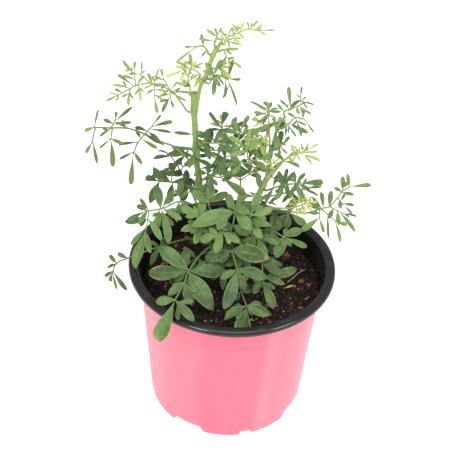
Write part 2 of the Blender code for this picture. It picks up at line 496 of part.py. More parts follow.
def soil(collection, pellets, holes):
    """The soil: rings of points on its bumpy surface, a side that follows the pot, and a flat bottom."""
    rings, sides = 7, 36
    top_radius = soil_side_radius(SOIL_Z)
    bottom_z = FLOOR_Z + 2 * LAYER + GAP + LAYER + GAP
    body = bmesh.new()
    middle = body.verts.new((0, 0, soil_height(0, 0) * MM))
    rows = []
    for ring in range(1, rings + 1):
        radius = top_radius * ring / rings
        row = []
        for side in range(sides):
            turn = 2 * math.pi * side / sides
            x, y = radius * math.cos(turn), radius * math.sin(turn)
            row.append(body.verts.new((x * MM, y * MM, soil_height(x, y) * MM)))
        rows.append(row)
    for z in (12.0, bottom_z):
        radius = soil_side_radius(z) if z > bottom_z else soil_side_radius(z) - 5
        turns = [2 * math.pi * side / sides for side in range(sides)]
        row = [(radius * math.cos(t) * MM, radius * math.sin(t) * MM, z * MM) for t in turns]
        rows.append([body.verts.new(point) for point in row])
    foot = body.verts.new((0, 0, bottom_z * MM))
    for side in range(sides):
        body.faces.new((middle, rows[0][side - 1], rows[0][side]))
        for inner, outer in zip(rows, rows[1:]):
            body.faces.new((inner[side - 1], outer[side - 1], outer[side]))
            body.faces.new((inner[side - 1], outer[side], inner[side]))
        body.faces.new((foot, rows[-1][side], rows[-1][side - 1]))
    bmesh.ops.recalc_face_normals(body, faces=body.faces)
    mesh = bpy.data.meshes.new("soil")
    body.to_mesh(mesh)
    body.free()
    result = new_object("soil", mesh, collection)
    for number, (x, y, radius) in enumerate(PELLETS):
        pellet(pellets, number, x, y, radius)
    join = result.modifiers.new("Pellets", "BOOLEAN")
    join.operation = "UNION"
    join.operand_type = "COLLECTION"
    join.collection = pellets
    body = bmesh.new()
    depth = (CROWN_DEPTH + 12) * MM
    radius = (CROWN_RADIUS + GAP) * MM
    bmesh.ops.create_cone(body, cap_ends=True, segments=12, radius1=radius, radius2=radius, depth=depth)
    place = (CROWN[0] * MM, CROWN[1] * MM, (SOIL_Z - CROWN_DEPTH - GAP) * MM + depth / 2)
    bmesh.ops.translate(body, verts=body.verts, vec=place)
    mesh = bpy.data.meshes.new("crown_hole")
    body.to_mesh(mesh)
    body.free()
    as_cutter(new_object("crown_hole", mesh, holes))
    subtract(result, holes)
    result.data.materials.append(material("potting_soil", (0.018, 0.012, 0.009), 0.95))
    return result


def smooth_path(points, pieces):
    """Points along a Catmull-Rom curve through the given ones, a few pieces between each two."""
    points = np.asarray(points, float)
    padded = np.vstack([2 * points[0] - points[1], points, 2 * points[-1] - points[-2]])
    result = []
    for a, b, c, d in zip(padded, padded[1:], padded[2:], padded[3:]):
        for step in range(pieces):
            t = step / pieces
            result.append(0.5 * (2 * b + (c - a) * t + (2 * a - 5 * b + 4 * c - d) * t ** 2
                                 + (3 * b - a - 3 * c + d) * t ** 3))
    return np.array(result + [points[-1]])


def stem_tube(name, points, collection):
    """A stem as a curve with a round bevel, made a closed mesh."""
    path = smooth_path(points, 1)
    curve = bpy.data.curves.new(name, "CURVE")
    curve.dimensions = "3D"
    curve.bevel_depth = 1.0
    curve.bevel_resolution = 2
    curve.use_fill_caps = True
    spline = curve.splines.new("POLY")
    spline.points.add(len(path) - 1)
    for point, (x, y, z, radius) in zip(spline.points, path):
        point.co = (x * MM, y * MM, z * MM, 1)
        point.radius = radius * MM
    source = new_object(name, curve, collection)
    bpy.context.view_layer.update()
    mesh = bpy.data.meshes.new_from_object(source.evaluated_get(bpy.context.evaluated_depsgraph_get()))
    bpy.data.objects.remove(source)
    body = bmesh.new()
    body.from_mesh(mesh)
    bmesh.ops.remove_doubles(body, verts=body.verts, dist=0.000005)
    bmesh.ops.recalc_face_normals(body, faces=body.faces)
    body.to_mesh(mesh)
    body.free()
    return new_object(name, mesh, collection)


def stems(collection, limbs):
    """All the woody stems, joined in one piece that stands in the soil on its crown."""
    for name, points in STEMS.items():
        if name != "main":
            as_cutter(stem_tube(f"stem_{name}", points, limbs))
    crown = [(*CROWN, SOIL_Z - CROWN_DEPTH, CROWN_RADIUS), (*CROWN, SOIL_Z - 4, CROWN_RADIUS),
             (*CROWN, SOIL_Z + 7, 3.0), (CROWN[0], CROWN[1], SOIL_Z + 10, 1.5)]
    as_cutter(stem_tube("crown", crown, limbs))
    result = stem_tube("stems", STEMS["main"], collection)
    join = result.modifiers.new("Join", "BOOLEAN")
    join.operation = "UNION"
    join.operand_type = "COLLECTION"
    join.collection = limbs
    result.data.materials.append(material("stem_green", (0.25, 0.36, 0.13), 0.5))
    return result


class Space:
    """What is already placed, as small closed boxes that a new leaflet has to miss."""

    def __init__(self):
        self.lows, self.highs, self.trees = [], [], []

    def add(self, points, faces):
        """Remembers one closed shape."""
        self.lows.append(np.min(points, axis=0))
        self.highs.append(np.max(points, axis=0))
        self.trees.append(BVHTree.FromPolygons(points, faces))

    def meets(self, points, faces):
        """Whether a shape touches anything that is remembered."""
        low, high = np.min(points, axis=0), np.max(points, axis=0)
        near = np.all(np.array(self.lows) < high, axis=1) & np.all(np.array(self.highs) > low, axis=1)
        shape = BVHTree.FromPolygons(points, faces)
        return any(self.trees[i].overlap(shape) for i in np.flatnonzero(near))


def bar(centres, across, normal, halves, thick):
    """A closed bar through some centres, with a width at each and one thickness: its points and faces."""
    corners = ((-1, -1), (1, -1), (1, 1), (-1, 1))
    points = [centre + across * half * a + normal * thick * b
              for centre, half in zip(centres, halves) for a, b in corners]
    faces = [(0, 1, 2, 3), tuple(len(points) - i for i in (1, 2, 3, 4))]
    for ring in range(len(centres) - 1):
        start = 4 * ring
        faces += [(start + i, start + (i + 1) % 4, start + 4 + (i + 1) % 4, start + 4 + i) for i in range(4)]
    return points, faces


class Sheet:
    """A leaf's thin surface while it grows: points, and triangles that name them."""

    def __init__(self):
        self.points, self.faces = [], []

    def pair(self, centre, left, half):
        """Two points, left and right of a centre."""
        self.points += [centre + left * half, centre - left * half]
        return len(self.points) - 2, len(self.points) - 1

    def band(self, start, end):
        """Two triangles between two pairs of points."""
        self.faces += [(start[0], start[1], end[1]), (start[0], end[1], end[0])]

    def tip(self, start, point):
        """A triangle from a pair to one end point."""
        self.points.append(point)
        self.faces.append((start[0], start[1], len(self.points) - 1))


def leaf_plane(facing):
    """The right, up and facing directions of a leaf's plane, from its azimuth and elevation in degrees."""
    azimuth, elevation = np.radians(facing)
    normal = np.array([np.cos(elevation) * np.sin(azimuth), -np.cos(elevation) * np.cos(azimuth),
                       np.sin(elevation)])
    right = np.array([np.cos(azimuth), np.sin(azimuth), 0.0])
    return right, np.cross(normal, right), normal


def blade_stations(length):
    """Fractions of a leaflet's length with its width there: slim at the root, widest past the middle."""
    if length < 9.0:
        return [(0.6, 1.0)]
    if length < 14.5:
        return [(0.26, 0.46), (0.7, 1.0)]
    return [(0.22, 0.42), (0.62, 1.0), (0.88, 0.78)]


def blade_shape(root, along, left, normal, length, width, bend):
    """Centres and half widths of a leaflet, which bends towards its back by the square of the way along."""
    stations = blade_stations(length)
    centres = [root + along * length * f - normal * bend * length * f ** 2 for f, _ in stations]
    halves = [width * part / 2 for _, part in stations]
    return centres, halves, root + along * length - normal * bend * length


def test_bar(root, along, left, normal, length, width, bend, room):
    """A closed bar round a leaflet with some room, which leaves out the root where it is fixed."""
    skip = 1.6 if room else 1.0
    centres, halves, tip = blade_shape(root, along, left, normal, length, width, bend)
    start = root + along * skip
    ahead = [(c, h) for c, h in zip(centres, halves) if np.dot(c - start, along) > 0.5]
    centres = [start] + [c for c, _ in ahead] + [tip + along * room]
    halves = [STALK_WIDTH / 2 * 0.8] + [h for _, h in ahead] + [0.3]
    return bar(centres, left, normal, [half + room for half in halves], BLADE / 2 + room)


def stalk_bar(start, end, left, normal, width, room, skip=0.0):
    """A closed bar round a straight piece of stalk."""
    along = unit(end - start)
    return bar([start + along * skip, end], left, normal, [width / 2 + room] * 2, BLADE / 2 + room)


def turned_direction(angle, pitch, plane):
    """A direction in the leaf's plane, lifted out of it by a pitch."""
    right, up, normal = plane
    flat = np.cos(np.radians(angle)) * right + np.sin(np.radians(angle)) * up
    return unit(np.cos(np.radians(pitch)) * flat + np.sin(np.radians(pitch)) * normal)


TRIES = [(0, 0), (12, 0), (-12, 0), (24, 0), (-24, 0), (8, 10), (8, -10), (-16, 10), (-16, -10), (36, 0),
         (-36, 0), (30, 14), (30, -14), (-30, 14), (-30, -14), (50, 0), (-50, 0)]


def grow_leaflet(sheet, space, edge, angle, length, width, plane, rng, shorter=(1.0, 0.85, 0.7)):
    """Adds one leaflet on an edge, in the first of a few positions where it touches nothing."""
    root = (sheet.points[edge[0]] + sheet.points[edge[1]]) / 2
    lift, roll, bend = rng.uniform(-10, 10), rng.uniform(-18, 18), rng.uniform(-0.03, 0.12)
    for scale in shorter:
        for pitch, swing in TRIES:
            along = turned_direction(angle + swing, lift + pitch, plane)
            left = unit(np.cross(plane[2], along))
            normal = np.cross(along, left)
            turn = np.radians(roll)
            left, normal = (np.cos(turn) * left + np.sin(turn) * normal,
                            np.cos(turn) * normal - np.sin(turn) * left)
            size = (root, along, left, normal, length * scale, width * scale ** 0.5, bend)
            if space.meets(*test_bar(*size, CLEAR)):
                continue
            centres, halves, tip = blade_shape(*size)
            before = edge
            for centre, half in zip(centres, halves):
                pair = sheet.pair(centre, left, half)
                sheet.band(before, pair)
                before = pair
            sheet.tip(before, tip)
            space.add(*test_bar(*size, 0.0))
            return


def grow_side_stalk(sheet, space, edge, row, leaf, plane, rng):
    """Adds a side stalk with pairs of leaflets and one at its end, or with a list of rows of its own."""
    angle, length, carried, end_width = row
    listed = isinstance(carried, list)
    lefts, rights, last = split_children(carried, angle) if listed else ([], [], None)
    count = max(len(lefts), len(rights), 1) if listed else carried
    root = (sheet.points[edge[0]] + sheet.points[edge[1]]) / 2
    reach = max(length, 1.6 * count + 0.4) if listed else max(3.0 * carried, length - leaf["length"])
    lift = rng.uniform(-10, 10)
    for pitch, swing in TRIES:
        along = turned_direction(angle + swing, lift + pitch, plane)
        left = unit(np.cross(plane[2], along))
        normal = np.cross(along, left)
        end = root + along * reach
        if not space.meets(*stalk_bar(root, end, left, normal, STALK_WIDTH, CLEAR, skip=1.6)):
            break
    else:
        return
    tilted = (plane[0], plane[1], plane[2]) if abs(lift + pitch) < 20 else tilt_plane(plane, along, normal)
    before, edges = edge, []
    for number in range(1, count + 1):
        far = reach * number / count
        first = sheet.pair(root + along * (far - NODE_LENGTH), left, STALK_WIDTH / 2)
        last_pair = sheet.pair(root + along * far, left, STALK_WIDTH / 2)
        sheet.band(before, first)
        sheet.band(first, last_pair)
        edges.append((first, last_pair))
        before = last_pair
    space.add(*stalk_bar(root, end, left, normal, STALK_WIDTH, 0.0, skip=1.0))
    heading = math.degrees(math.atan2(np.dot(along, tilted[1]), np.dot(along, tilted[0])))
    grow_row(sheet, space, before, last or (heading, length - reach, 0, end_width), leaf, tilted, rng)
    for number in reversed(range(count)):
        first, last_pair = edges[number]
        if listed:
            sides = lefts[number:number + 1], rights[number:number + 1]
        else:
            size, spread = leaf["length"] * rng.uniform(0.75, 0.95), rng.uniform(44, 58)
            sides = [[(heading + spread * side, size, 0, leaf["width"])] for side in (1, -1)]
        for rows, side_edge in zip(sides, ((first[0], last_pair[0]), (last_pair[1], first[1]))):
            for child in rows:
                grow_row(sheet, space, side_edge, child, leaf, tilted, rng)


def grow_row(sheet, space, edge, row, leaf, plane, rng):
    """Grows what one row says: a leaflet, or a side stalk with what it carries."""
    angle, length, carried = row[:3]
    width = row[3] if len(row) > 3 else leaf["width"] * rng.uniform(0.85, 1.15)
    if carried:
        grow_side_stalk(sheet, space, edge, (angle, length, carried, width), leaf, plane, rng)
    else:
        grow_leaflet(sheet, space, edge, angle, length, width, plane, rng)


def tilt_plane(plane, along, normal):
    """The leaf's plane, tipped so that it holds a side stalk that was lifted out of it."""
    right = unit(plane[0] - normal * np.dot(plane[0], normal))
    return right, np.cross(normal, right), normal


def node_sides(children, heading):
    """What grows at a node, by side: first what points backwards, each as (angle from the stalk, row)."""
    turns = [((row[0] - heading + 180) % 360 - 180, row) for row in children]
    left = sorted((turn for turn in turns if turn[0] >= 0), key=lambda turn: -turn[0])
    right = sorted((turn for turn in turns if turn[0] < 0), key=lambda turn: turn[0])
    return left, right


def split_children(children, heading):
    """Rows that grow left, right and at the end of a stalk: the row nearest to its direction ends it."""
    left, right = node_sides(children, heading)
    end = min(left[-1:] + right[-1:], key=lambda turn: abs(turn[0]))
    (left if end in left else right).remove(end)
    return [row for _, row in left], [row for _, row in right], end[1]


def stem_surface(stem, height, towards):
    """The point on a stem's side at a height, on the side of another point, just clear of the stem."""
    path = smooth_path(STEMS[stem], 8)
    order = np.argmin(np.abs(path[:, 2] - height))
    centre, radius = path[order, :3], path[order, 3]
    axis = unit(path[min(order + 1, len(path) - 1), :3] - path[max(order - 1, 0), :3])
    out = towards - centre
    out = unit(out - axis * np.dot(out, axis))
    return centre + out * (radius + GAP + 0.15), out, axis


def leaf_spine(leaf):
    """The stalk's path: its foot on the stem, a short elbow straight out of the stem, and the nodes."""
    nodes = [np.array(point, float) for point, _ in leaf["nodes"]]
    foot, out, axis = stem_surface(leaf["stem"], leaf["height"], nodes[0])
    return foot, foot + out * ELBOW + axis * ELBOW * 0.6, nodes


def leaf_skeleton(leaf, plane):
    """The stalk's stations: each node with its direction and what grows left, right and at the end."""
    foot, elbow, nodes = leaf_spine(leaf)
    spine = [elbow] + nodes
    stations = []
    for number, (_, children) in enumerate(leaf["nodes"], start=1):
        point = spine[number]
        before = unit(point - spine[number - 1])
        after = unit(spine[number + 1] - point) if number + 1 < len(spine) else before
        along = unit(before + after)
        heading = math.degrees(math.atan2(np.dot(along, plane[1]), np.dot(along, plane[0])))
        if number + 1 == len(spine) and children:
            stations.append((point, along, split_children(children, heading)))
        else:
            left, right = node_sides(children, heading)
            stations.append((point, along, ([row for _, row in left], [row for _, row in right], None)))
    return foot, elbow, stations


def grow_stalk(sheet, space, leaf, plane):
    """The main stalk as a strip, with one edge left and right for each thing that grows from it."""
    foot, elbow, stations = leaf_skeleton(leaf, plane)
    start = sheet.pair(foot, unit(np.cross(plane[2], elbow - foot)), STALK_WIDTH / 2)
    before = sheet.pair(elbow, unit(np.cross(plane[2], stations[0][0] - foot)), STALK_WIDTH / 2)
    sheet.band(start, before)
    centre_before, growth = elbow, []
    for point, along, (lefts, rights, last) in stations:
        left = unit(np.cross(plane[2], along))
        count = max(len(lefts), len(rights), 1)
        for step in range(count + 1):
            centre = point + along * NODE_LENGTH * (step - count / 2)
            pair = sheet.pair(centre, left, STALK_WIDTH / 2)
            sheet.band(before, pair)
            if step:
                if step <= len(lefts):
                    growth.append(((before[0], pair[0]), lefts[step - 1]))
                if step <= len(rights):
                    growth.append(((pair[1], before[1]), rights[step - 1]))
            direction = unit(centre - centre_before)
            side = unit(np.cross(plane[2], direction))
            space.add(*stalk_bar(centre_before, centre, side, np.cross(direction, side), STALK_WIDTH, 0.0))
            centre_before, before = centre, pair
        if last:
            growth.append((before, last))
    return growth


def leaf_object(leaf, sheet, collection):
    """The leaf's sheet as an object, thickened evenly on both faces."""
    mesh = bpy.data.meshes.new(leaf["name"])
    mesh.from_pydata([tuple(point * MM) for point in sheet.points], [], sheet.faces)
    result = new_object(leaf["name"], mesh, collection)
    thickness = result.modifiers.new("Thickness", "SOLIDIFY")
    thickness.thickness = BLADE * MM
    thickness.offset = 0.0
    result.data.materials.append(material(leaf["name"] + "_green", TONES[leaf["tone"]], 0.55))
    return result


def fixed_space():
    """The pot's rim and walls, the soil and the stems, as things that the leaves have to miss."""
    space = Space()
    rings = [(RIM_RADIUS + 0.2, 60), (RIM_RADIUS + 0.4, POT_HEIGHT - 3), (RIM_RADIUS - 1, POT_HEIGHT),
             (RIM_RADIUS - RIM_ROLL / 2, POT_HEIGHT + 0.2), (RIM_RADIUS - RIM_ROLL, POT_HEIGHT - 1.5),
             (WALL_TOP_RADIUS - 1.9, WALL_TOP_Z - 2), (SHOULDER_RADIUS - 1.7, SOIL_Z - 4)]
    turns = np.linspace(0, 2 * math.pi, TURNS, endpoint=False)
    points = [np.array([r * math.cos(t), r * math.sin(t), z]) for r, z in rings for t in turns]
    faces = []
    for ring in range(len(rings) - 1):
        start = ring * TURNS
        faces += [(start + i, start + (i + 1) % TURNS, start + TURNS + (i + 1) % TURNS, start + TURNS + i)
                  for i in range(TURNS)]
    space.add(points, faces)
    marks = np.linspace(-50, 50, 34)
    points = [np.array([x, y, soil_height(x, y) + 0.6]) for x in marks for y in marks]
    size = len(marks)
    faces = [(i * size + j, (i + 1) * size + j, (i + 1) * size + j + 1, i * size + j + 1)
             for i in range(size - 1) for j in range(size - 1)]
    space.add(points, faces)
    for points in STEMS.values():
        path = smooth_path(points, 1)
        for start, end in zip(path, path[1:]):
            along = unit(end[:3] - start[:3])
            side = unit(np.cross(along, (0.0, 1.0, 0.0)))
            radius = max(start[3], end[3])
            space.add(*bar([start[:3], end[:3]], side, np.cross(along, side), [radius] * 2, radius))
    return space


def leaves(collection):
    """All the leaves and young shoots: first every main stalk, then what grows from each."""
    space = fixed_space()
    grown = []
    for leaf in FRONDS:
        plane, sheet = leaf_plane(leaf["facing"]), Sheet()
        grown.append((leaf, sheet, plane, grow_stalk(sheet, space, leaf, plane)))
    for number, (leaf, sheet, plane, growth) in enumerate(grown):
        rng = np.random.default_rng(100 + number)
        for edge, row in growth:
            grow_row(sheet, space, edge, row, leaf, plane, rng)
        leaf_object(leaf, sheet, collection)


def main():
    """Clears the scene and models the potted rue."""
    for old in list(bpy.data.objects):
        bpy.data.objects.remove(old)
    groups = {}
    for name in ("potted_rue", "cutters", "pellets", "holes", "limbs"):
        groups[name] = bpy.data.collections.new(name)
        bpy.context.scene.collection.children.link(groups[name])
    rue = groups["potted_rue"]
    pot_cutters(groups["cutters"])
    pink_layer(rue, groups["cutters"])
    black_layer(rue, groups["cutters"])
    soil(rue, groups["pellets"], groups["holes"])
    stems(rue, groups["limbs"])
    leaves(rue)


main()
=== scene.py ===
# %% [markdown]
# # A potted rue
# Rue is a small bushy herb. Its leaves are cut twice or three times into little spoon-shaped leaflets,
# blue-green when they are old and yellow-green at the tips of the shoots. This one stands in dark soil in
# a plastic nursery pot: pink outside, black inside, with the black layer rolled outwards into a rim.
# The frame gives the plain solids of the part in metres, and the pieces below are finer surfaces, most of
# which take the place of one of them.

# %% The frame
import math
from collections import namedtuple

import bmesh
import bpy
import numpy as np
from mathutils import Matrix, Vector
from mathutils.bvhtree import BVHTree


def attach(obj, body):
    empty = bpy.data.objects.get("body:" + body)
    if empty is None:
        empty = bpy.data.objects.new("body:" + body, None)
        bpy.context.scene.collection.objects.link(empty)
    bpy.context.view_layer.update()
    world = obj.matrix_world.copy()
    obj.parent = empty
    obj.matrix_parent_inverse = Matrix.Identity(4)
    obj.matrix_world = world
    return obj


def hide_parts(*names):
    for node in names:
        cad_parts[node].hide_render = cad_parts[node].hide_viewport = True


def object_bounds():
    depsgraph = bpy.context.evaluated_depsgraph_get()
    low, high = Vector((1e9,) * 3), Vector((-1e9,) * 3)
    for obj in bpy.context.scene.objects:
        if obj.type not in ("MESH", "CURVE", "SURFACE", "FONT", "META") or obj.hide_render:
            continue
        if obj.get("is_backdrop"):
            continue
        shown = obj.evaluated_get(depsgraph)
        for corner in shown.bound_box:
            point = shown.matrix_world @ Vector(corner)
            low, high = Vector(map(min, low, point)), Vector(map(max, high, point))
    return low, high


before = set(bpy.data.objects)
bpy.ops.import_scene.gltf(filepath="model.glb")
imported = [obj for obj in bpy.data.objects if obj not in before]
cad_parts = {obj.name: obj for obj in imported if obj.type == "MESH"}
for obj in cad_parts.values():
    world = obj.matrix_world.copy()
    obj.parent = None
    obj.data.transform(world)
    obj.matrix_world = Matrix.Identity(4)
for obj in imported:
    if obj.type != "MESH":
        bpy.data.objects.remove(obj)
solid_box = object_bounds()
scene = bpy.context.scene
MM = 0.001                     # everything is worked out in millimetres, and made in metres
print("plain solids:", len(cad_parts), "nodes")

# %% [markdown]
# ## Camera, light and floor
# The picture looks down on the pot at 39 degrees, with the camera turned a little on its own axis. A
# white room gives the even light of a product picture. A wide lamp above shines on the leaves, and a
# smaller one at each side in front puts the two pale streaks on the rim.

# %% Camera
LOOK_DOWN, LEAN = math.radians(38.6), math.radians(3.1)
AIM = Vector((-0.0029, 0.0, 0.122))
DISTANCE = 0.600
PICTURE, FOCAL_PIXELS = 458, 1064.0    # the picture's side and the focal length, both in its pixels
SENSOR = 36.0

back, level_right = Vector((0, -math.cos(LOOK_DOWN), math.sin(LOOK_DOWN))), Vector((1, 0, 0))
level_up = level_right.cross(-back)
across = math.cos(LEAN) * level_right + math.sin(LEAN) * level_up
upright = math.cos(LEAN) * level_up - math.sin(LEAN) * level_right
camera = bpy.data.objects.new("camera", bpy.data.cameras.new("camera"))
scene.collection.objects.link(camera)
placed = Matrix((across, upright, back)).transposed().to_4x4()
placed.translation = AIM + back * DISTANCE
camera.matrix_world = placed
camera.data.sensor_width = SENSOR
camera.data.lens = SENSOR * FOCAL_PIXELS / PICTURE
scene.camera = camera
print("camera at", [round(c, 3) for c in placed.translation], "lens", round(camera.data.lens, 1), "mm")

# %% Light
# Each square lamp with its place, its side in metres and its power in watts
LAMPS = [("lamp_top", (0.1, -0.45, 1.25), 0.8, 5.2), ("lamp_left", (-0.52, -0.82, 0.88), 0.28, 5.6),
         ("lamp_right", (0.88, -0.52, 0.86), 0.42, 5.4)]
LIT = Vector((0, 0, 0.1))      # the point that they all shine at

scene.view_settings.view_transform = "Standard"
room = bpy.data.worlds.new("white_room")
room.use_nodes = True
background = room.node_tree.nodes["Background"].inputs
background["Color"].default_value = (1.0, 1.0, 1.0, 1.0)
background["Strength"].default_value = 0.49
scene.world = room
for name, place, side, power in LAMPS:
    light = bpy.data.lights.new(name, "AREA")
    light.size, light.energy = side, power
    lamp = bpy.data.objects.new(name, light)
    scene.collection.objects.link(lamp)
    lamp.location = place
    lamp.rotation_euler = (LIT - Vector(place)).to_track_quat("-Z", "Y").to_euler()
print("lamps:", len(LAMPS))

# %% [markdown]
# ## Finishes
# A finish is a Principled shader whose colour, roughness and bump come from maths on patterns. Writing
# that maths as node boxes is slow to read, so a number in a shader is wrapped in a small class: an
# ordinary Python expression on it adds the Math nodes. What never changes over a surface is set straight
# on the shader.


# %% Shader numbers and finishes
class Number:
    """A number in a shader. Python's operators on it add the Math nodes of the expression."""

    def __init__(self, finish, socket):
        self.finish, self.socket = finish, socket

    def math(self, operation, *others):
        """A Math node on this number and others."""
        return self.finish.math(operation, self, *others)

    def __add__(self, other):
        return self.math("ADD", other)

    def __sub__(self, other):
        return self.math("SUBTRACT", other)

    def __rsub__(self, other):
        return self.finish.math("SUBTRACT", other, self)

    def __mul__(self, other):
        return self.math("MULTIPLY", other)

    __radd__, __rmul__ = __add__, __mul__

    def step(self, low, high):
        """0 below low, 1 above high, and a soft S curve between them. With low above high it falls."""
        if low > high:
            return 1.0 - self.step(high, low)
        node = self.finish.node("ShaderNodeMapRange", {"interpolation_type": "SMOOTHSTEP"},
                                {"Value": self, "From Min": low, "From Max": high})
        return Number(self.finish, node.outputs["Result"])


class Finish:
    """A material with one Principled shader. One method adds any node to it, and the others use that."""

    def __init__(self, name, **constants):
        self.material = bpy.data.materials.new(name)
        self.material.use_nodes = True
        self.tree = self.material.node_tree
        self.shader = self.tree.nodes["Principled BSDF"]
        for socket, value in constants.items():
            self.shader.inputs[socket.replace("_", " ")].default_value = value
        self.place = self.node("ShaderNodeTexCoord").outputs["Object"]

    def node(self, kind, settings=None, inputs=None):
        """A node: first its settings, such as a ramp's stops, then the values or links of its sockets."""
        node = self.tree.nodes.new(kind)
        for key, value in (settings or {}).items():
            if key == "stops":
                ramp = node.color_ramp
                while len(ramp.elements) < len(value):
                    ramp.elements.new(1.0)
                for element, (position, colour) in zip(ramp.elements, value):
                    element.position, element.color = position, (*colour, 1.0)
            else:
                setattr(node, key, value)
        for key, value in (inputs or {}).items():
            self.feed(node.inputs[key], value)
        return node

    def feed(self, socket, value):
        """Links a socket to another one or to a number, or sets its value."""
        value = value.socket if isinstance(value, Number) else value
        if isinstance(value, bpy.types.NodeSocket):
            self.tree.links.new(value, socket)
        elif isinstance(value, tuple) and socket.type == "RGBA":
            socket.default_value = (*value, 1.0)
        else:
            socket.default_value = value

    def math(self, operation, *values):
        """A Math node on some numbers."""
        node = self.node("ShaderNodeMath", {"operation": operation}, dict(enumerate(values)))
        return Number(self, node.outputs[0])

    def noise(self, scale, detail, squeeze=None):
        """Cloudy noise between 0 and 1, with scale clouds to a metre. squeeze stretches it along an axis."""
        place = self.place
        if squeeze:
            place = self.node("ShaderNodeMapping", None, {"Vector": place, "Scale": squeeze}).outputs[0]
        node = self.node("ShaderNodeTexNoise", None, {"Vector": place, "Scale": scale, "Detail": detail})
        return Number(self, node.outputs[0])

    def cells(self, scale):
        """The distance to the nearest of many scattered points, with scale points to a metre."""
        node = self.node("ShaderNodeTexVoronoi", None, {"Vector": self.place, "Scale": scale})
        return Number(self, node.outputs["Distance"])

    def distance(self, point):
        """The distance to a point of the object, in metres."""
        node = self.node("ShaderNodeVectorMath", {"operation": "DISTANCE"}, {0: self.place, 1: point})
        return Number(self, node.outputs["Value"])

    def attribute(self, name):
        """A number that the mesh carries at each point."""
        return Number(self, self.node("ShaderNodeAttribute", {"attribute_name": name}).outputs["Fac"])

    def axis(self, vector, which):
        """One coordinate of a vector."""
        return Number(self, self.node("ShaderNodeSeparateXYZ", None, {0: vector}).outputs[which])

    def ramp(self, factor, stops):
        """A colour that runs through stops of position and colour."""
        return self.node("ShaderNodeValToRGB", {"stops": stops}, {"Fac": factor}).outputs["Color"]

    def layers(self, colour, *coats):
        """A colour with others laid over it, each with the share of it that covers."""
        for cover, coat in coats:
            node = self.node("ShaderNodeMix", {"data_type": "RGBA"}, {0: cover, 6: colour, 7: coat})
            colour = node.outputs[2]
        return colour

    def bump(self, height, depth):
        """Shading relief, with a depth in millimetres."""
        node = self.node("ShaderNodeBump", None, {"Height": height, "Distance": depth * MM})
        self.tree.links.new(node.outputs["Normal"], self.shader.inputs["Normal"])

    def paint(self, **values):
        """Feeds the shader's own sockets."""
        for socket, value in values.items():
            self.feed(self.shader.inputs[socket.replace("_", " ")], value)
        return self


# %% [markdown]
# ## Surfaces from grids
# Everything on the plant is a tube or a blade, and both are a ring of points carried along a line. One
# helper turns such rings into a mesh: it joins each ring to the next, and closes both ends in a point.
# Many pieces of the same layout go through it together as one array.


# %% Grid helpers
def unit(vectors):
    """Vectors of length 1 in the same directions, for one vector or an array of them."""
    vectors = np.asarray(vectors, float)
    return vectors / np.linalg.norm(vectors, axis=-1, keepdims=True)


def left_and_out(normal, along):
    """Directions square to a way through a plane: the one to its left, and the one out of the plane."""
    left = unit(np.cross(normal, along))
    return left, np.cross(along, left)


def turned(left, normal, turn):
    """Two directions that are square to a third, turned about that one by an angle in radians."""
    return np.cos(turn) * left + np.sin(turn) * normal, np.cos(turn) * normal - np.sin(turn) * left


def ring_faces(count, rows, ring):
    """Faces of some closed skins, each with a first point, rows of ring points and a last point."""
    size = rows * ring + 2
    row, side = np.meshgrid(np.arange(rows - 1), np.arange(ring), indexing="ij")
    following = (side + 1) % ring
    quads = 1 + np.stack([row * ring + side, row * ring + following, (row + 1) * ring + following,
                          (row + 1) * ring + side], axis=-1).reshape(-1, 4)
    side = np.arange(ring)
    first = np.stack([np.zeros(ring, int), 1 + (side + 1) % ring, 1 + side], axis=-1)
    base = 1 + (rows - 1) * ring
    last = np.stack([np.full(ring, size - 1), base + side, base + (side + 1) % ring], axis=-1)
    shift = (np.arange(count) * size)[:, None, None]
    return (quads + shift).reshape(-1, 4), (np.concatenate([first, last]) + shift).reshape(-1, 3)


def new_mesh(name, points, quads, triangles, layers=None):
    """A smooth mesh from points in mm, with point layers: 'uv' is a pair for each point, others a number."""
    mesh = bpy.data.meshes.new(name)
    corners = np.concatenate([np.ravel(quads), np.ravel(triangles)]).astype(np.int32)
    sizes = np.concatenate([np.full(len(quads), 4), np.full(len(triangles), 3)])
    mesh.vertices.add(len(points))
    mesh.vertices.foreach_set("co", (np.asarray(points) * MM).astype(np.float32).ravel())
    mesh.loops.add(len(corners))
    mesh.loops.foreach_set("vertex_index", corners)
    mesh.polygons.add(len(sizes))
    mesh.polygons.foreach_set("loop_start", (np.cumsum(sizes) - sizes).astype(np.int32))
    mesh.update(calc_edges=True)
    mesh.shade_smooth()
    for key, values in (layers or {}).items():
        values = np.asarray(values, np.float32)
        if key == "uv":
            mesh.uv_layers.new(name="UVMap").data.foreach_set("uv", values[corners].ravel())
        else:
            mesh.attributes.new(key, "FLOAT", "POINT").data.foreach_set("value", values)
    return mesh


pieces = []


def new_piece(name, mesh, finish, slot, *replaced):
    """Links a finished mesh as a piece of the part, which rides on the one body that it has."""
    piece = bpy.data.objects.new(name, mesh)
    scene.collection.objects.link(piece)
    piece.data.materials.append(finish.material)
    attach(piece, "root")
    if replaced:
        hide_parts(*replaced)
    pieces.append(piece)
    return piece


# %% [markdown]
# ## How the plant is put together
# A few woody stems carry compound leaves. Each leaf has a stalk that runs through its nodes, and at each
# node leaflets and side stalks leave it at angles in the leaf's own plane. So a leaf is a short list: its
# stem and height there, its size, and its nodes with what grows from them. This is how a botanist notes
# a leaf, and it is far shorter than the places of 700 leaflets.

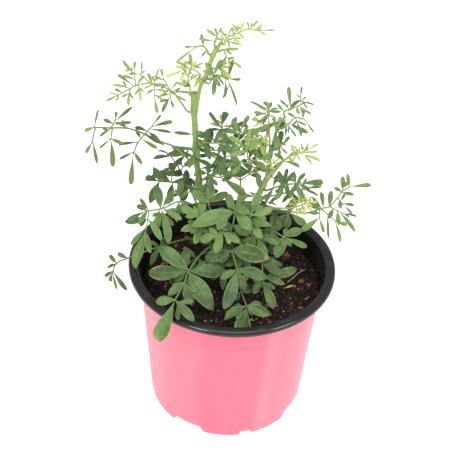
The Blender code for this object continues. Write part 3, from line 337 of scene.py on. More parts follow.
# %% Sizes of the plant
GAP, SWELLING = 0.3, 0.15      # between a leaf's foot and its stem, and how much the stem swells there
RIM_RADIUS, RIM_ROLL, POT_HEIGHT = 60.0, 6.0, 99.0
FOOT_RADIUS, SHOULDER_Z, SHOULDER_RADIUS, SHOULDER_STEP = 46.4, 78.5, 52.4, 0.5
WALL_TOP_Z, WALL_TOP_RADIUS = 93.0, 54.0
SOIL_Z = 86.0
CROWN = (-8.0, 12.0)           # where the stems leave the soil
STALK_WIDTH, BLADE = 1.1, 0.7  # width of a leaf stalk, and the room that a blade takes
NODE_LENGTH = 1.2              # stretch of a stalk that one leaflet grows from
CLEAR = 0.35                   # room that a new leaflet keeps around itself
ELBOW = 2.0                    # a leaf stalk leaves its stem straight for this far
ROUND = 32                     # sides of the pot, where leaves are kept off it
STEM_STEPS = 14                # steps between two points of a stem, where it is made
# Radii of a stalk at its foot and at its end: a leaf's own one, a side one, and one right at a stem
MAIN_STALK, SIDE_STALK, SHORT_STALK = (0.62, 0.42), (0.42, 0.34), (0.5, 0.4)

# %% Stems
# Points along each stem, with its radius there
STEMS = {
    "main": [(-8, 12, 73, 3.0), (-9, 12, 88, 2.4), (-14, 12, 107, 1.9), (-18, 12, 125, 1.7),
             (-20, 12, 140, 1.6), (-23, 12, 160, 1.6), (-24, 12, 178, 1.6), (-25, 12, 193, 1.7),
             (-25, 12, 202.5, 2.0)],
    "shoot": [(-24, 12, 190, 1.1), (-22, 12, 206, 1.0), (-19, 11, 214, 1.0), (-17, 11, 222, 1.1),
              (-15, 11, 228, 1.0), (-12, 12, 233, 0.6)],
    "right": [(-8, 12, 82, 2.2), (-6, 12, 92, 2.1), (1, 12, 107, 1.9), (9, 12, 128, 1.7), (13, 11, 140, 1.7),
              (17, 10, 153, 1.5)],
    "branch": [(16, 10, 149, 1.0), (17, 10, 163, 0.9), (18, 9, 170, 0.9), (19, 9, 180, 0.8),
               (21, 9, 192, 0.7)],
    "fork": [(15, 10, 148, 1.1), (20, 9, 159, 0.9), (24, 6, 166, 0.8), (28, 3, 172, 0.6)],
}

print(len(STEMS), "stems")


# %% Leaves
# A compound leaf leaves its stem at a height and runs through its nodes. Its tone says how old it is, and
# its length and width are those of a leaflet that has none of its own. facing is the way its plane looks:
# azimuth and elevation. A node is a point, and then the rows that grow there. A row is a leaflet or a side
# stalk: its direction in the plane in degrees, its length, then the width of its leaflet or of its end
# leaflet where that is known (or 0), and what a side stalk carries: some pairs of leaflets, or rows again.
Leaf = namedtuple("Leaf", "name stem height tone length width nodes facing", defaults=[(0, 50)])
LEAVES = [
    Leaf("leaf_top_left", "main", 192, "mid", 6.5, 1.7, [
        (-32, 7, 200),
        (-37, 4, 208, (53, 6, 1.2), (0, 9, 1.6), (328, 9, 1.5), (217, 4, 1.4), (279, 4, 0, [(243, 9, 2.2),
            (195, 5), (291, 5)]), (122, 6, 0, [(188, 7, 2.0), (105, 6), (160, 6)])),
        (-46, 0, 214, (80, 9, 1.4), (117, 6), (205, 5, 1.3), (142, 7, 0, [(92, 7, 1.3), (183, 6)]),
            (274, 6, 0, [(279, 9, 2.2), (350, 6, 1.5), (217, 4), (325, 5)])),
        (-54, -3, 214, (100, 7, 0, [(134, 9, 2.0), (88, 6), (161, 6)]), (60, 6, 1.6), (144, 11, 1.9),
            (283, 8, 1.6)),
        (-57, -5, 213, (165, 9, 1.7), (264, 8, 1.6)),
        (-61, -6, 211, (150, 4), (211, 8, 1.5))]),
    Leaf("leaf_left", "main", 160, "old", 8.0, 2.0, [
        (-35, 6, 172),
        (-42, 4, 176),
        (-50, 0, 183, (334, 11, 2.6), (55, 6, 0, [(353, 11, 1.8), (309, 9, 2.0), (54, 7, 1.3), (159, 7),
            (25, 11)]), (236, 6, 0, [(193, 10, 2.0), (328, 10, 2.0), (119, 6), (255, 6, 0, [(269, 16, 3.0),
            (213, 8, 1.6), (309, 7)])])),
        (-58, -12, 194, (160, 7, 1.6)),
        (-65, -20, 199, (71, 5, 0, [(41, 11), (159, 5), (90, 4), (10, 9)]), (216, 7, 1.5),
            (267, 6, 0, [(231, 7, 1.4), (337, 7, 2.0), (285, 14, 2.9)])),
        (-72, -28, 204, (82, 9, 1.2), (262, 8, 0, [(284, 11, 1.7), (245, 6)]), (205, 5))]),
    Leaf("leaf_crown_left", "shoot", 226, "old", 5.0, 1.6, [
        (-19, 9, 230, (240, 4, 1.3)),
        (-21, 9, 232, (98, 7, 1.8)),
        (-25, 8, 232, (173, 5), (221, 12, 1.5))]),
    Leaf("leaf_crown_top", "shoot", 230, "old", 5.0, 1.8, [
        (-15, 9, 235, (176, 8, 1.6)),
        (-14, 8, 239, (108, 4, 1.5), (150, 6), (62, 4, 1.2))]),
    Leaf("leaf_crown_drooping", "shoot", 213, "old", 6.0, 1.8, [
        (-14, 8, 216, (270, 10, 2.6), (322, 6, 1.2)),
        (-8, 4, 217, (84, 10, 2.4), (125, 5), (357, 6, 1.6), (274, 9, 1.6), (297, 14, 1.6))]),
    Leaf("leaf_crown_right", "shoot", 229, "mid", 6.0, 1.8, [
        (-11, 8, 231, (1, 8, 1.8)),
        (-9, 7, 228, (258, 5, 1.9), (327, 9, 1.7))]),
    Leaf("whorl_right", "shoot", 219, "young", 5.0, 1.5, [
        (-12, 7, 221, (325, 9, 2.6), (45, 5), (5, 5))]),
    Leaf("whorl_left", "shoot", 210, "young", 5.0, 1.4, [
        (-22, 9, 215, (254, 7, 1.9)),
        (-26, 8, 219, (101, 8, 2.0), (40, 6)),
        (-29, 7, 220, (145, 7, 1.7), (208, 11, 1.7), (237, 7, 1.3), (175, 5))]),
    Leaf("shoot_tip", "shoot", 233, "young", 4.5, 1.2, [
        (-9, 11, 236, (130, 6), (72, 6), (345, 7, 1.4), (175, 5)),
        (-6, 11, 238, (55, 7), (312, 7)),
        (-3, 11, 240, (125, 6), (75, 5, 1.5), (322, 4)),
        (2, 11, 242, (95, 4), (53, 6, 1.3)),
        (5, 10, 242, (42, 5), (5, 9, 1.1))]),
    Leaf("shoot_side", "main", 202, "young", 5.0, 1.4, [
        (-27, 9, 208, (163, 7, 1.8)),
        (-28, 8, 212, (212, 5, 2.0), (30, 6)),
        (-28, 8, 215, (75, 5), (340, 4), (120, 5, 1.6))]),
    Leaf("leaf_right_top_left", "branch", 187, "old", 6.0, 1.9, [
        (18, 7, 193, (262, 3, 0, [(212, 15, 3.0), (307, 6, 1.5)])),
        (15, 6, 195, (104, 4, 0, [(157, 10, 1.3), (200, 7, 1.3), (125, 4, 1.8), (70, 4, 1.7), (3, 6)]),
            (175, 8, 2.1), (211, 8, 2.1))]),
    Leaf("leaf_right_top", "branch", 191, "mid", 7.0, 1.9, [
        (23, 10, 195, (128, 6, 1.7)),
        (26, 12, 196, (97, 12, 2.5), (135, 7, 1.7), (50, 7, 0, [(90, 8, 1.3), (356, 8, 1.3)]),
            (18, 5, 0, [(328, 9, 1.5), (280, 4)]))], facing=(0, 60)),
    Leaf("leaf_right_top_low", "branch", 172, "old", 7.0, 2.2, [
        (22, 5, 176, (88, 9, 3.2), (52, 7, 2.0), (270, 5, 2.1), (318, 5, 1.6), (176, 5))]),
    Leaf("shoot_fork", "fork", 171, "young", 5.5, 1.3, [
        (31, 0, 175, (125, 5), (300, 4)),
        (34, 0, 177, (145, 7, 1.4), (100, 5), (62, 5), (30, 8), (5, 10, 1.2), (345, 11, 1.9))]),
    Leaf("shoot_fork_low", "fork", 160, "young", 5.0, 1.3, [
        (18, 1, 165),
        (18, -1, 169, (105, 6), (160, 5), (40, 5))]),
    Leaf("shoot_centre", "branch", 167, "young", 5.5, 1.9, [
        (14, 6, 173, (195, 6), (85, 7), (275, 6)),
        (11, 4, 178, (55, 8), (300, 5), (215, 6)),
        (8, 2, 182, (180, 5), (125, 6), (230, 5), (70, 6))]),
    Leaf("leaf_centre_left", "main", 138, "old", 8.0, 2.2, [
        (-16, 17, 149, (35, 14, 0, 1)),
        (-12, 20, 156, (15, 16, 0, 1), (150, 13, 0, 1)),
        (-9, 23, 165, (10, 17, 0, 2), (165, 14, 0, 1)),
        (-10, 26, 172, (128, 12, 1.8), (75, 12, 3.0), (20, 14, 0, 1), (180, 9))], facing=(0, 60)),
    Leaf("leaf_centre", "right", 118, "old", 8.0, 2.2, [
        (2, 14, 134),
        (2, 12, 148, (35, 14, 0, 1), (150, 13, 0, 1)),
        (-1, 10, 161, (20, 16, 0, 1), (160, 15, 0, 1)),
        (-1, 8, 173, (15, 15, 0, 2), (165, 13, 0, 1)),
        (0, 7, 182, (115, 9), (65, 10), (20, 10), (165, 9))]),
    Leaf("leaf_centre_right", "right", 146, "old", 8.0, 2.3, [
        (11, 4, 159, (165, 13, 0, 1), (290, 9)),
        (6, -2, 170, (15, 12, 0, 1), (190, 13, 0, 1)),
        (4, -8, 182, (40, 10), (90, 10), (145, 11), (200, 9))]),
    Leaf("leaf_middle", "main", 147, "old", 10.0, 3.6, [
        (-15, 4, 155, (25, 17, 4.4), (285, 12, 4.0)),
        (-9, -1, 158, (75, 11, 3.6), (15, 15, 4.4), (328, 15, 4.4))]),
    Leaf("leaf_shoulder", "main", 169, "old", 9.0, 3.0, [
        (-18, 5, 176, (80, 8), (290, 9)),
        (-13, 1, 179, (60, 9, 2.6), (10, 12, 3.2), (335, 12, 3.4))]),
    Leaf("leaf_shoulder_left", "main", 164, "old", 8.0, 2.4, [
        (-29, 15, 161, (150, 9), (185, 10, 2.8), (228, 8, 2.6))]),
    Leaf("leaf_right_high", "right", 144, "old", 7.0, 2.0, [
        (20, 3, 150, (238, 8, 1.9), (73, 8, 1.7)),
        (26, -3, 157, (114, 8, 2.1), (87, 9, 1.7), (60, 9, 1.9), (250, 9, 2.2), (296, 8, 2.2)),
        (32, -8, 162, (103, 6, 1.9), (55, 7, 2.0), (4, 13, 2.7), (335, 7, 1.7), (297, 8, 2.2),
            (250, 8, 1.9))]),
    Leaf("leaf_right_low", "right", 137, "old", 7.0, 2.0, [
        (23, 13, 138, (230, 7, 1.9), (67, 8, 1.7)),
        (31, 17, 138, (113, 8, 1.8), (239, 8, 2.4), (300, 8, 2.1), (50, 8, 1.7)),
        (38, 20, 138, (12, 10, 2.4), (347, 9, 2.0), (70, 7, 1.5), (270, 7, 1.9))], facing=(0, 60)),
    Leaf("shoot_right", "right", 132, "young", 5.5, 1.5, [
        (27, 5, 135),
        (34, 3, 138, (125, 6), (160, 5), (325, 7, 1.6)),
        (38, 2, 141, (125, 6, 1.6), (88, 6), (45, 6), (8, 6), (328, 6), (285, 5))]),
    Leaf("leaf_far_right", "right", 127, "old", 7.0, 2.1, [
        (28, 12, 128),
        (40, 12, 127),
        (49, 13, 130, (98, 10, 2.6), (135, 8, 2.3), (165, 7, 2.8), (272, 5, 0, [(181, 7, 2.5), (292, 8, 2.0),
            (224, 14, 3.4)]), (322, 11, 0, [(271, 13, 1.6), (292, 12, 2.0), (344, 6, 2.6)])),
        (54, 17, 129, (80, 9, 3.0), (335, 8, 0, [(242, 6, 2.8), (357, 8, 1.5), (308, 13, 2.6),
            (282, 8, 2.8)])),
        (58, 20, 133, (312, 5, 0, [(65, 6, 1.8), (352, 6, 2.0), (314, 7, 1.6), (282, 5, 2.2)])),
        (61, 24, 135, (88, 8, 2.8), (157, 5), (352, 7, 2.2)),
        (65, 27, 136, (95, 8, 2.3), (8, 12, 2.8))]),
    Leaf("leaf_low_left", "main", 129, "mid", 9.0, 3.4, [
        (-31, 2, 138, (92, 12, 3.2), (320, 9, 2.4), (264, 11, 2.8)),
        (-41, -4, 137, (105, 14, 4.6), (66, 12, 3.0), (264, 11, 3.2), (292, 19, 4.2), (333, 12, 3.0)),
        (-48, -8, 138, (265, 10, 0, [(189, 12, 3.6), (309, 13, 3.4), (259, 22, 5.6), (232, 12, 2.6)]),
            (131, 8, 2.0), (212, 12, 2.5), (241, 9, 2.5), (160, 6))]),
    Leaf("leaf_low_left_back", "main", 138, "old", 8.0, 3.2, [
        (-29, 13, 142, (85, 9), (280, 9)),
        (-37, 17, 140, (90, 12, 3.8, 1), (262, 12, 3.4), (5, 13, 3.8), (150, 11, 3.4)),
        (-44, 20, 138, (118, 9), (255, 14, 3.8), (170, 8))], facing=(0, 60)),
    Leaf("leaf_trailing", "main", 103, "old", 4.5, 2.2, [
        (-25, 4, 110),
        (-42, -1, 107, (250, 11, 3.2), (295, 11, 3.0), (40, 9, 4.2), (150, 6)),
        (-60, -8, 103, (155, 6, 2.8)),
        (-66, -10, 100, (134, 6, 2.5), (207, 5, 2.2)),
        (-68, -12, 95, (220, 5, 2.3), (308, 13, 2.6), (285, 9, 1.5), (258, 4))]),
    Leaf("leaf_front", "main", 101, "mid", 12.0, 6.0, [
        (-13, 2, 107),
        (-18, -8, 109),
        (-24, -22, 108, (145, 21, 8.0), (186, 22, 7.4), (2, 21, 8.0), (308, 25, 8.8)),
        (-26, -31, 107, (225, 11, 4.0), (290, 13, 5.0)),
        (-30, -44, 106, (192, 10, 4.8), (255, 24, 8.0), (310, 16, 4.4))]),
    Leaf("leaf_centre_front", "right", 101, "mid", 10.0, 4.2, [
        (-3, 2, 116),
        (-1, -4, 128, (330, 10, 4.0), (215, 11, 4.0)),
        (0, -4, 138, (200, 25, 6.2), (120, 10, 3.6), (70, 11, 4.0), (25, 13, 4.6), (330, 14, 5.0))]),
    Leaf("leaf_front_right", "right", 96, "mid", 12.0, 5.0, [
        (-4, -4, 105),
        (-1, -12, 116, (357, 21, 8.6), (200, 15, 6.0)),
        (3, -25, 113, (348, 17, 5.6), (215, 10, 4.0), (255, 22, 6.6), (300, 10, 4.0))]),
    Leaf("leaf_front_low", "right", 99, "mid", 10.0, 4.6, [
        (3, -10, 100),
        (6, -26, 98, (40, 6, 4.4), (225, 9, 4.0)),
        (9, -38, 99, (212, 14, 5.0), (340, 14, 5.2), (262, 16, 8.4))], facing=(0, 65)),
    Leaf("leaf_right_front", "right", 92, "mid", 10.0, 4.2, [
        (5, 2, 100),
        (16, -11, 108, (100, 10, 4.0), (345, 12, 4.2), (318, 13, 4.2)),
        (17, -20, 104, (10, 21, 4.8), (285, 18, 4.6), (235, 10, 4.0))], facing=(10, 60)),
    Leaf("leaf_right_back", "right", 105, "mid", 9.0, 4.0, [
        (14, 6, 117, (100, 10, 4.0), (285, 10, 4.2)),
        (21, 2, 121, (75, 10, 4.0), (295, 12, 4.6)),
        (28, -2, 120, (344, 14, 2.6), (255, 12, 4.6), (25, 11, 4.0))]),
    Leaf("leaf_right_middle", "right", 117, "mid", 9.0, 4.2, [
        (21, 15, 123),
        (31, 13, 126, (222, 19, 6.2), (320, 11, 4.0), (75, 9))]),
    Leaf("leaf_back_left", "main", 118, "old", 9.0, 2.8, [
        (-26, 24, 129, (80, 13, 0, 1), (200, 12, 0, 1)),
        (-33, 33, 137, (75, 14, 0, 1), (195, 13, 0, 1)),
        (-39, 40, 142, (70, 10), (200, 10), (130, 12))], facing=(0, 100)),
    Leaf("leaf_back", "main", 126, "old", 9.0, 2.8, [
        (-14, 26, 140, (50, 13, 0, 1), (140, 13, 0, 1)),
        (-11, 36, 150, (40, 14, 0, 1), (150, 14, 0, 1)),
        (-10, 49, 158, (50, 10), (140, 10), (95, 15))], facing=(0, 100)),
    Leaf("leaf_back_right", "right", 112, "old", 9.0, 2.8, [
        (12, 26, 124, (110, 13, 0, 1), (350, 12, 0, 1)),
        (20, 36, 134, (115, 14, 0, 1), (345, 14, 0, 1)),
        (27, 44, 140, (120, 10), (340, 10), (50, 12))], facing=(0, 100)),
    Leaf("leaf_back_high", "branch", 160, "old", 7.5, 2.3, [
        (17, 18, 168, (50, 12, 0, 1), (150, 12, 0, 1)),
        (16, 26, 176, (40, 12, 0, 1), (140, 12, 0, 1)),
        (15, 32, 181, (45, 9), (135, 9), (90, 10))], facing=(0, 100)),
    Leaf("leaf_shoot_sheath", "shoot", 211, "mid", 7.0, 2.2, [
        (-17, 5, 213),
        (-16, 4, 216, (62, 11, 2.4), (112, 9, 2.2), (15, 8, 2.0))]),
    Leaf("leaf_inner_left", "main", 107, "mid", 10.0, 4.0, [
        (-17, 0, 118),
        (-18, -5, 128, (200, 12), (325, 12), (255, 12)),
        (-19, -8, 134, (150, 12), (25, 12), (88, 12))]),
    Leaf("leaf_inner", "right", 110, "mid", 10.0, 4.0, [
        (-4, 0, 121),
        (-7, -9, 127, (205, 12), (155, 12), (335, 12), (262, 12), (35, 12), (95, 10))]),
    Leaf("leaf_inner_right", "right", 115, "mid", 10.0, 4.0, [
        (8, 2, 126),
        (8, -6, 134, (345, 12), (310, 12)),
        (9, -9, 140, (150, 11), (20, 12), (75, 12))]),
    Leaf("leaf_inner_high", "main", 114, "mid", 10.0, 4.0, [
        (-12, 3, 124),
        (-14, 1, 134, (195, 11), (340, 12)),
        (-15, -1, 141, (150, 11), (35, 12), (85, 10))]),
    Leaf("leaf_inner_low", "right", 107, "mid", 10.0, 4.0, [
        (8, 2, 114),
        (13, -4, 120, (350, 12), (300, 12), (215, 11), (140, 9))]),
    Leaf("leaf_inner_broad", "main", 110, "old", 10.0, 4.0, [
        (-11, 4, 116),
        (-11, 0, 119, (176, 15, 7.4), (108, 10, 5.0), (12, 12, 6.0), (262, 9))]),
    Leaf("leaf_low_front", "right", 92, "old", 10.0, 4.0, [
        (-4, -4, 98),
        (-5, -9, 103, (178, 12, 4.6), (232, 11, 4.6), (268, 14, 3.6), (205, 9))]),
    Leaf("leaf_low_middle", "right", 95, "mid", 9.0, 3.6, [
        (3, 1, 101),
        (5, -5, 106, (262, 12, 3.6), (300, 11, 3.6), (215, 10, 3.4), (345, 10))]),
    Leaf("leaf_low_right", "right", 100, "mid", 9.0, 4.0, [
        (12, 2, 108),
        (15, -3, 112, (308, 13, 4.6), (258, 10, 3.8), (20, 10, 4.0), (345, 12, 3.6))]),
    Leaf("leaf_low_inner_left", "main", 97, "old", 9.0, 3.6, [
        (-17, 1, 102),
        (-21, -6, 104, (150, 9), (215, 11, 4.0), (255, 11, 4.0), (320, 10))]),
    Leaf("leaf_right_top_right", "branch", 186, "mid", 7.0, 1.9, [
        (25, 6, 190, (335, 11, 2.6), (300, 8, 1.4), (262, 5, 1.4)),
        (29, 8, 193, (291, 11, 1.8), (150, 5, 1.7)),
        (33, 9, 192, (82, 6, 1.7), (311, 9, 1.2))], facing=(0, 60))]
print(len(LEAVES), "leaves and shoots")

# %% [markdown]
# ## Letting the leaflets find room
# Real leaflets never cross each other, because they grow round what is there already. The same is done
# here: every leaflet starts with a small random tilt, and if its place is taken it tries a few other
# directions, and then a smaller size. What is taken is remembered as small closed boxes in search trees,
# so one test against thousands of leaflets takes microseconds.


# %% Room that is taken
class Space:
    """What is already placed, as small closed boxes that a new leaflet has to miss."""

    def __init__(self):
        self.lows, self.highs, self.trees = [], [], []

    def add(self, points, faces):
        """Remembers one closed shape."""
        self.lows.append(np.min(points, axis=0))
        self.highs.append(np.max(points, axis=0))
        self.trees.append(BVHTree.FromPolygons(points, faces))

    def meets(self, points, faces, besides=None):
        """Whether a shape touches anything that is remembered, besides one thing that it may touch."""
        low, high = np.min(points, axis=0), np.max(points, axis=0)
        near = np.all(np.array(self.lows) < high, axis=1) & np.all(np.array(self.highs) > low, axis=1)
        shape = BVHTree.FromPolygons(points, faces)
        return any(self.trees[i].overlap(shape) for i in np.flatnonzero(near) if i != besides)


def wall_faces(rings, size):
    """Four-sided faces from each ring of points to the next one."""
    return [(start + i, start + (i + 1) % size, start + size + (i + 1) % size, start + size + i)
            for start in range(0, (rings - 1) * size, size) for i in range(size)]


def bar(centres, side, normal, halves, thick):
    """A closed bar through some centres, with a width at each and one thickness: its points and faces."""
    corners = ((-1, -1), (1, -1), (1, 1), (-1, 1))
    points = [centre + side * half * a + normal * thick * b
              for centre, half in zip(centres, halves) for a, b in corners]
    ends = (0, 1, 2, 3), tuple(len(points) - i for i in (1, 2, 3, 4))
    return points, [*ends, *wall_faces(len(centres), 4)]


SKIPPED, SKIPPED_IN_TEST = 1.0, 1.6    # how much of a root a bar leaves out, as remembered and in a test
# Shares of the way along a leaflet and of its width there, by how long it is at least
STATIONS = {14.5: [(0.22, 0.42), (0.62, 1.0), (0.88, 0.78)], 9.0: [(0.26, 0.46), (0.7, 1.0)],
            0.0: [(0.6, 1.0)]}


def leaflet_bar(root, along, left, normal, length, width, bend, room):
    """A bar round a leaflet with some room, which leaves out the root where it is fixed."""
    stations = next(stations for least, stations in STATIONS.items() if length >= least)
    start = root + along * (SKIPPED_IN_TEST if room else SKIPPED)
    ahead = [(root + along * length * f - normal * bend * length * f ** 2, width * part / 2)
             for f, part in stations]
    ahead = [(centre, half) for centre, half in ahead if np.dot(centre - start, along) > 0.5]
    tip = root + along * length - normal * bend * length
    centres = [start] + [centre for centre, _ in ahead] + [tip + along * room]
    halves = [STALK_WIDTH / 2 * 0.8] + [half for _, half in ahead] + [0.3]
    return bar(centres, left, normal, [half + room for half in halves], BLADE / 2 + room)


def stalk_bar(start, end, left, normal, room, skip=0.0):
    """A bar round a straight piece of stalk."""
    along = unit(end - start)
    return bar([start + along * skip, end], left, normal, [STALK_WIDTH / 2 + room] * 2, BLADE / 2 + room)


# %% [markdown]
# ## Curves, soil and stems to keep clear of
# A stem is given by a few points, and a Catmull-Rom curve rounds it off: each piece of it is a cubic whose
# direction at a point is that from the point before to the point after.


# %% Curves and obstacles
def smooth_path(points, steps):
    """Points along a Catmull-Rom curve through the given ones, with a few steps between each two."""
    points = np.asarray(points, float)
    padded = np.vstack([2 * points[0] - points[1], points, 2 * points[-1] - points[-2]])
    result = []
    for a, b, c, d in zip(padded, padded[1:], padded[2:], padded[3:]):
        for step in range(steps):
            t = step / steps
            result.append(0.5 * (2 * b + (c - a) * t + (2 * a - 5 * b + 4 * c - d) * t ** 2
                                 + (3 * b - a - 3 * c + d) * t ** 3))
    return np.array(result + [points[-1]])


def soil_height(x, y):
    """The soil's surface: a few long waves, a low mound round the crown, and a hollow along the wall."""
    waves = 0.9 * np.sin(0.13 * x + 0.7) * np.cos(0.11 * y - 0.4) + 0.5 * np.sin(0.31 * x - 0.27 * y)
    mound = 1.2 * np.exp(-((x - CROWN[0]) ** 2 + (y - CROWN[1]) ** 2) / 500)
    return SOIL_Z + waves + mound - 1.5 * np.maximum(0.0, (np.hypot(x, y) - 40) / 10) ** 2


def taken_at_first():
    """The pot's rim and walls, the soil and the stems, which the leaves have to miss."""
    space = Space()
    rings = [(RIM_RADIUS + 0.2, 60), (RIM_RADIUS + 0.4, POT_HEIGHT - 3), (RIM_RADIUS - 1, POT_HEIGHT),
             (RIM_RADIUS - RIM_ROLL / 2, POT_HEIGHT + 0.2), (RIM_RADIUS - RIM_ROLL, POT_HEIGHT - 1.5),
             (WALL_TOP_RADIUS - 1.9, WALL_TOP_Z - 2), (SHOULDER_RADIUS - 1.7, SOIL_Z - 4)]
    turns = np.linspace(0, 2 * math.pi, ROUND, endpoint=False)
    points = [np.array([r * math.cos(t), r * math.sin(t), z]) for r, z in rings for t in turns]
    space.add(points, wall_faces(len(rings), ROUND))
    marks = np.linspace(-50, 50, 34)
    points = [np.array([x, y, soil_height(x, y) + 0.6]) for x in marks for y in marks]
    size = len(marks)
    faces = [(i * size + j, (i + 1) * size + j, (i + 1) * size + j + 1, i * size + j + 1)
             for i in range(size - 1) for j in range(size - 1)]
    space.add(points, faces)
    for points in STEMS.values():
        path = smooth_path(points, 1)
        for start, end in zip(path, path[1:]):
            side, normal = left_and_out((0.0, -1.0, 0.0), unit(end[:3] - start[:3]))
            radius = max(start[3], end[3])
            space.add(*bar([start[:3], end[:3]], side, normal, [radius] * 2, radius))
    return space


# %% [markdown]
# ## Growing
# Growing goes in the same order for every leaf. First its main stalk claims its room, then each node's
# leaflets and side stalks follow. What comes out is only a list of stalk lines and leaflets, each with its
# root, its direction, its size, its bend, and whether it ends a stalk. The surfaces are made from these
# lists later, all at once.


# %% One leaf's lines and leaflets
def leaf_plane(facing):
    """The right, up and facing directions of a leaf's plane, from its azimuth and elevation in degrees."""
    azimuth, elevation = np.radians(facing)
    normal = np.array([np.cos(elevation) * np.sin(azimuth), -np.cos(elevation) * np.cos(azimuth),
                       np.sin(elevation)])
    right = np.array([np.cos(azimuth), np.sin(azimuth), 0.0])
    return right, np.cross(normal, right), normal


def in_plane(angle, pitch, plane):
    """A direction at an angle in the leaf's plane, lifted out of it by a pitch."""
    right, up, normal = plane
    flat = np.cos(np.radians(angle)) * right + np.sin(np.radians(angle)) * up
    return unit(np.cos(np.radians(pitch)) * flat + np.sin(np.radians(pitch)) * normal)


def angle_in_plane(along, plane):
    """The angle in degrees at which a direction runs in the leaf's plane."""
    return math.degrees(math.atan2(np.dot(along, plane[1]), np.dot(along, plane[0])))


# How often a leaflet of each tone has a small one at its side, and the shortest that can have one
LOBES = {"young": (0.95, 4.5), "mid": (0.75, 6.5), "old": (0.15, 6.5)}
STEEP = 20                     # from this pitch on, a side stalk's leaflets follow a plane of its own
# How far a leaflet or side stalk is lifted out of the plane and a leaflet rolled, in degrees, and its bend
LIFT, ROLL, BEND = (-10, 10), (-18, 18), (-0.03, 0.12)
SCALES = (1.0, 0.85, 0.7)      # sizes that a leaflet tries
ROW_ROOM, PAIR_ROOM = 1.6, 3.0     # stretch of a side stalk for each row or pair that it carries
# Other ways that a leaflet or a side stalk tries when its own is taken: pitch and swing in degrees
TRIES = [(0, 0), (12, 0), (-12, 0), (24, 0), (-24, 0), (8, 10), (8, -10), (-16, 10), (-16, -10), (36, 0),
         (-36, 0), (30, 14), (30, -14), (-30, 14), (-30, -14), (50, 0), (-50, 0)]


def left_and_right(rows, heading):
    """Rows that grow left and right of a stalk, first what points backwards."""
    turns = [((row[0] - heading + 180) % 360 - 180, row) for row in rows]
    left = sorted((turn for turn in turns if turn[0] >= 0), key=lambda turn: -turn[0])
    right = sorted((turn for turn in turns if turn[0] < 0), key=lambda turn: turn[0])
    return left, right


def with_end(rows, heading):
    """Rows left, right and at the end of a stalk: the row nearest to its direction ends it."""
    left, right = left_and_right(rows, heading)
    end = min(left[-1:] + right[-1:], key=lambda turn: abs(turn[0]))
    (left if end in left else right).remove(end)
    return left, right, end[1]


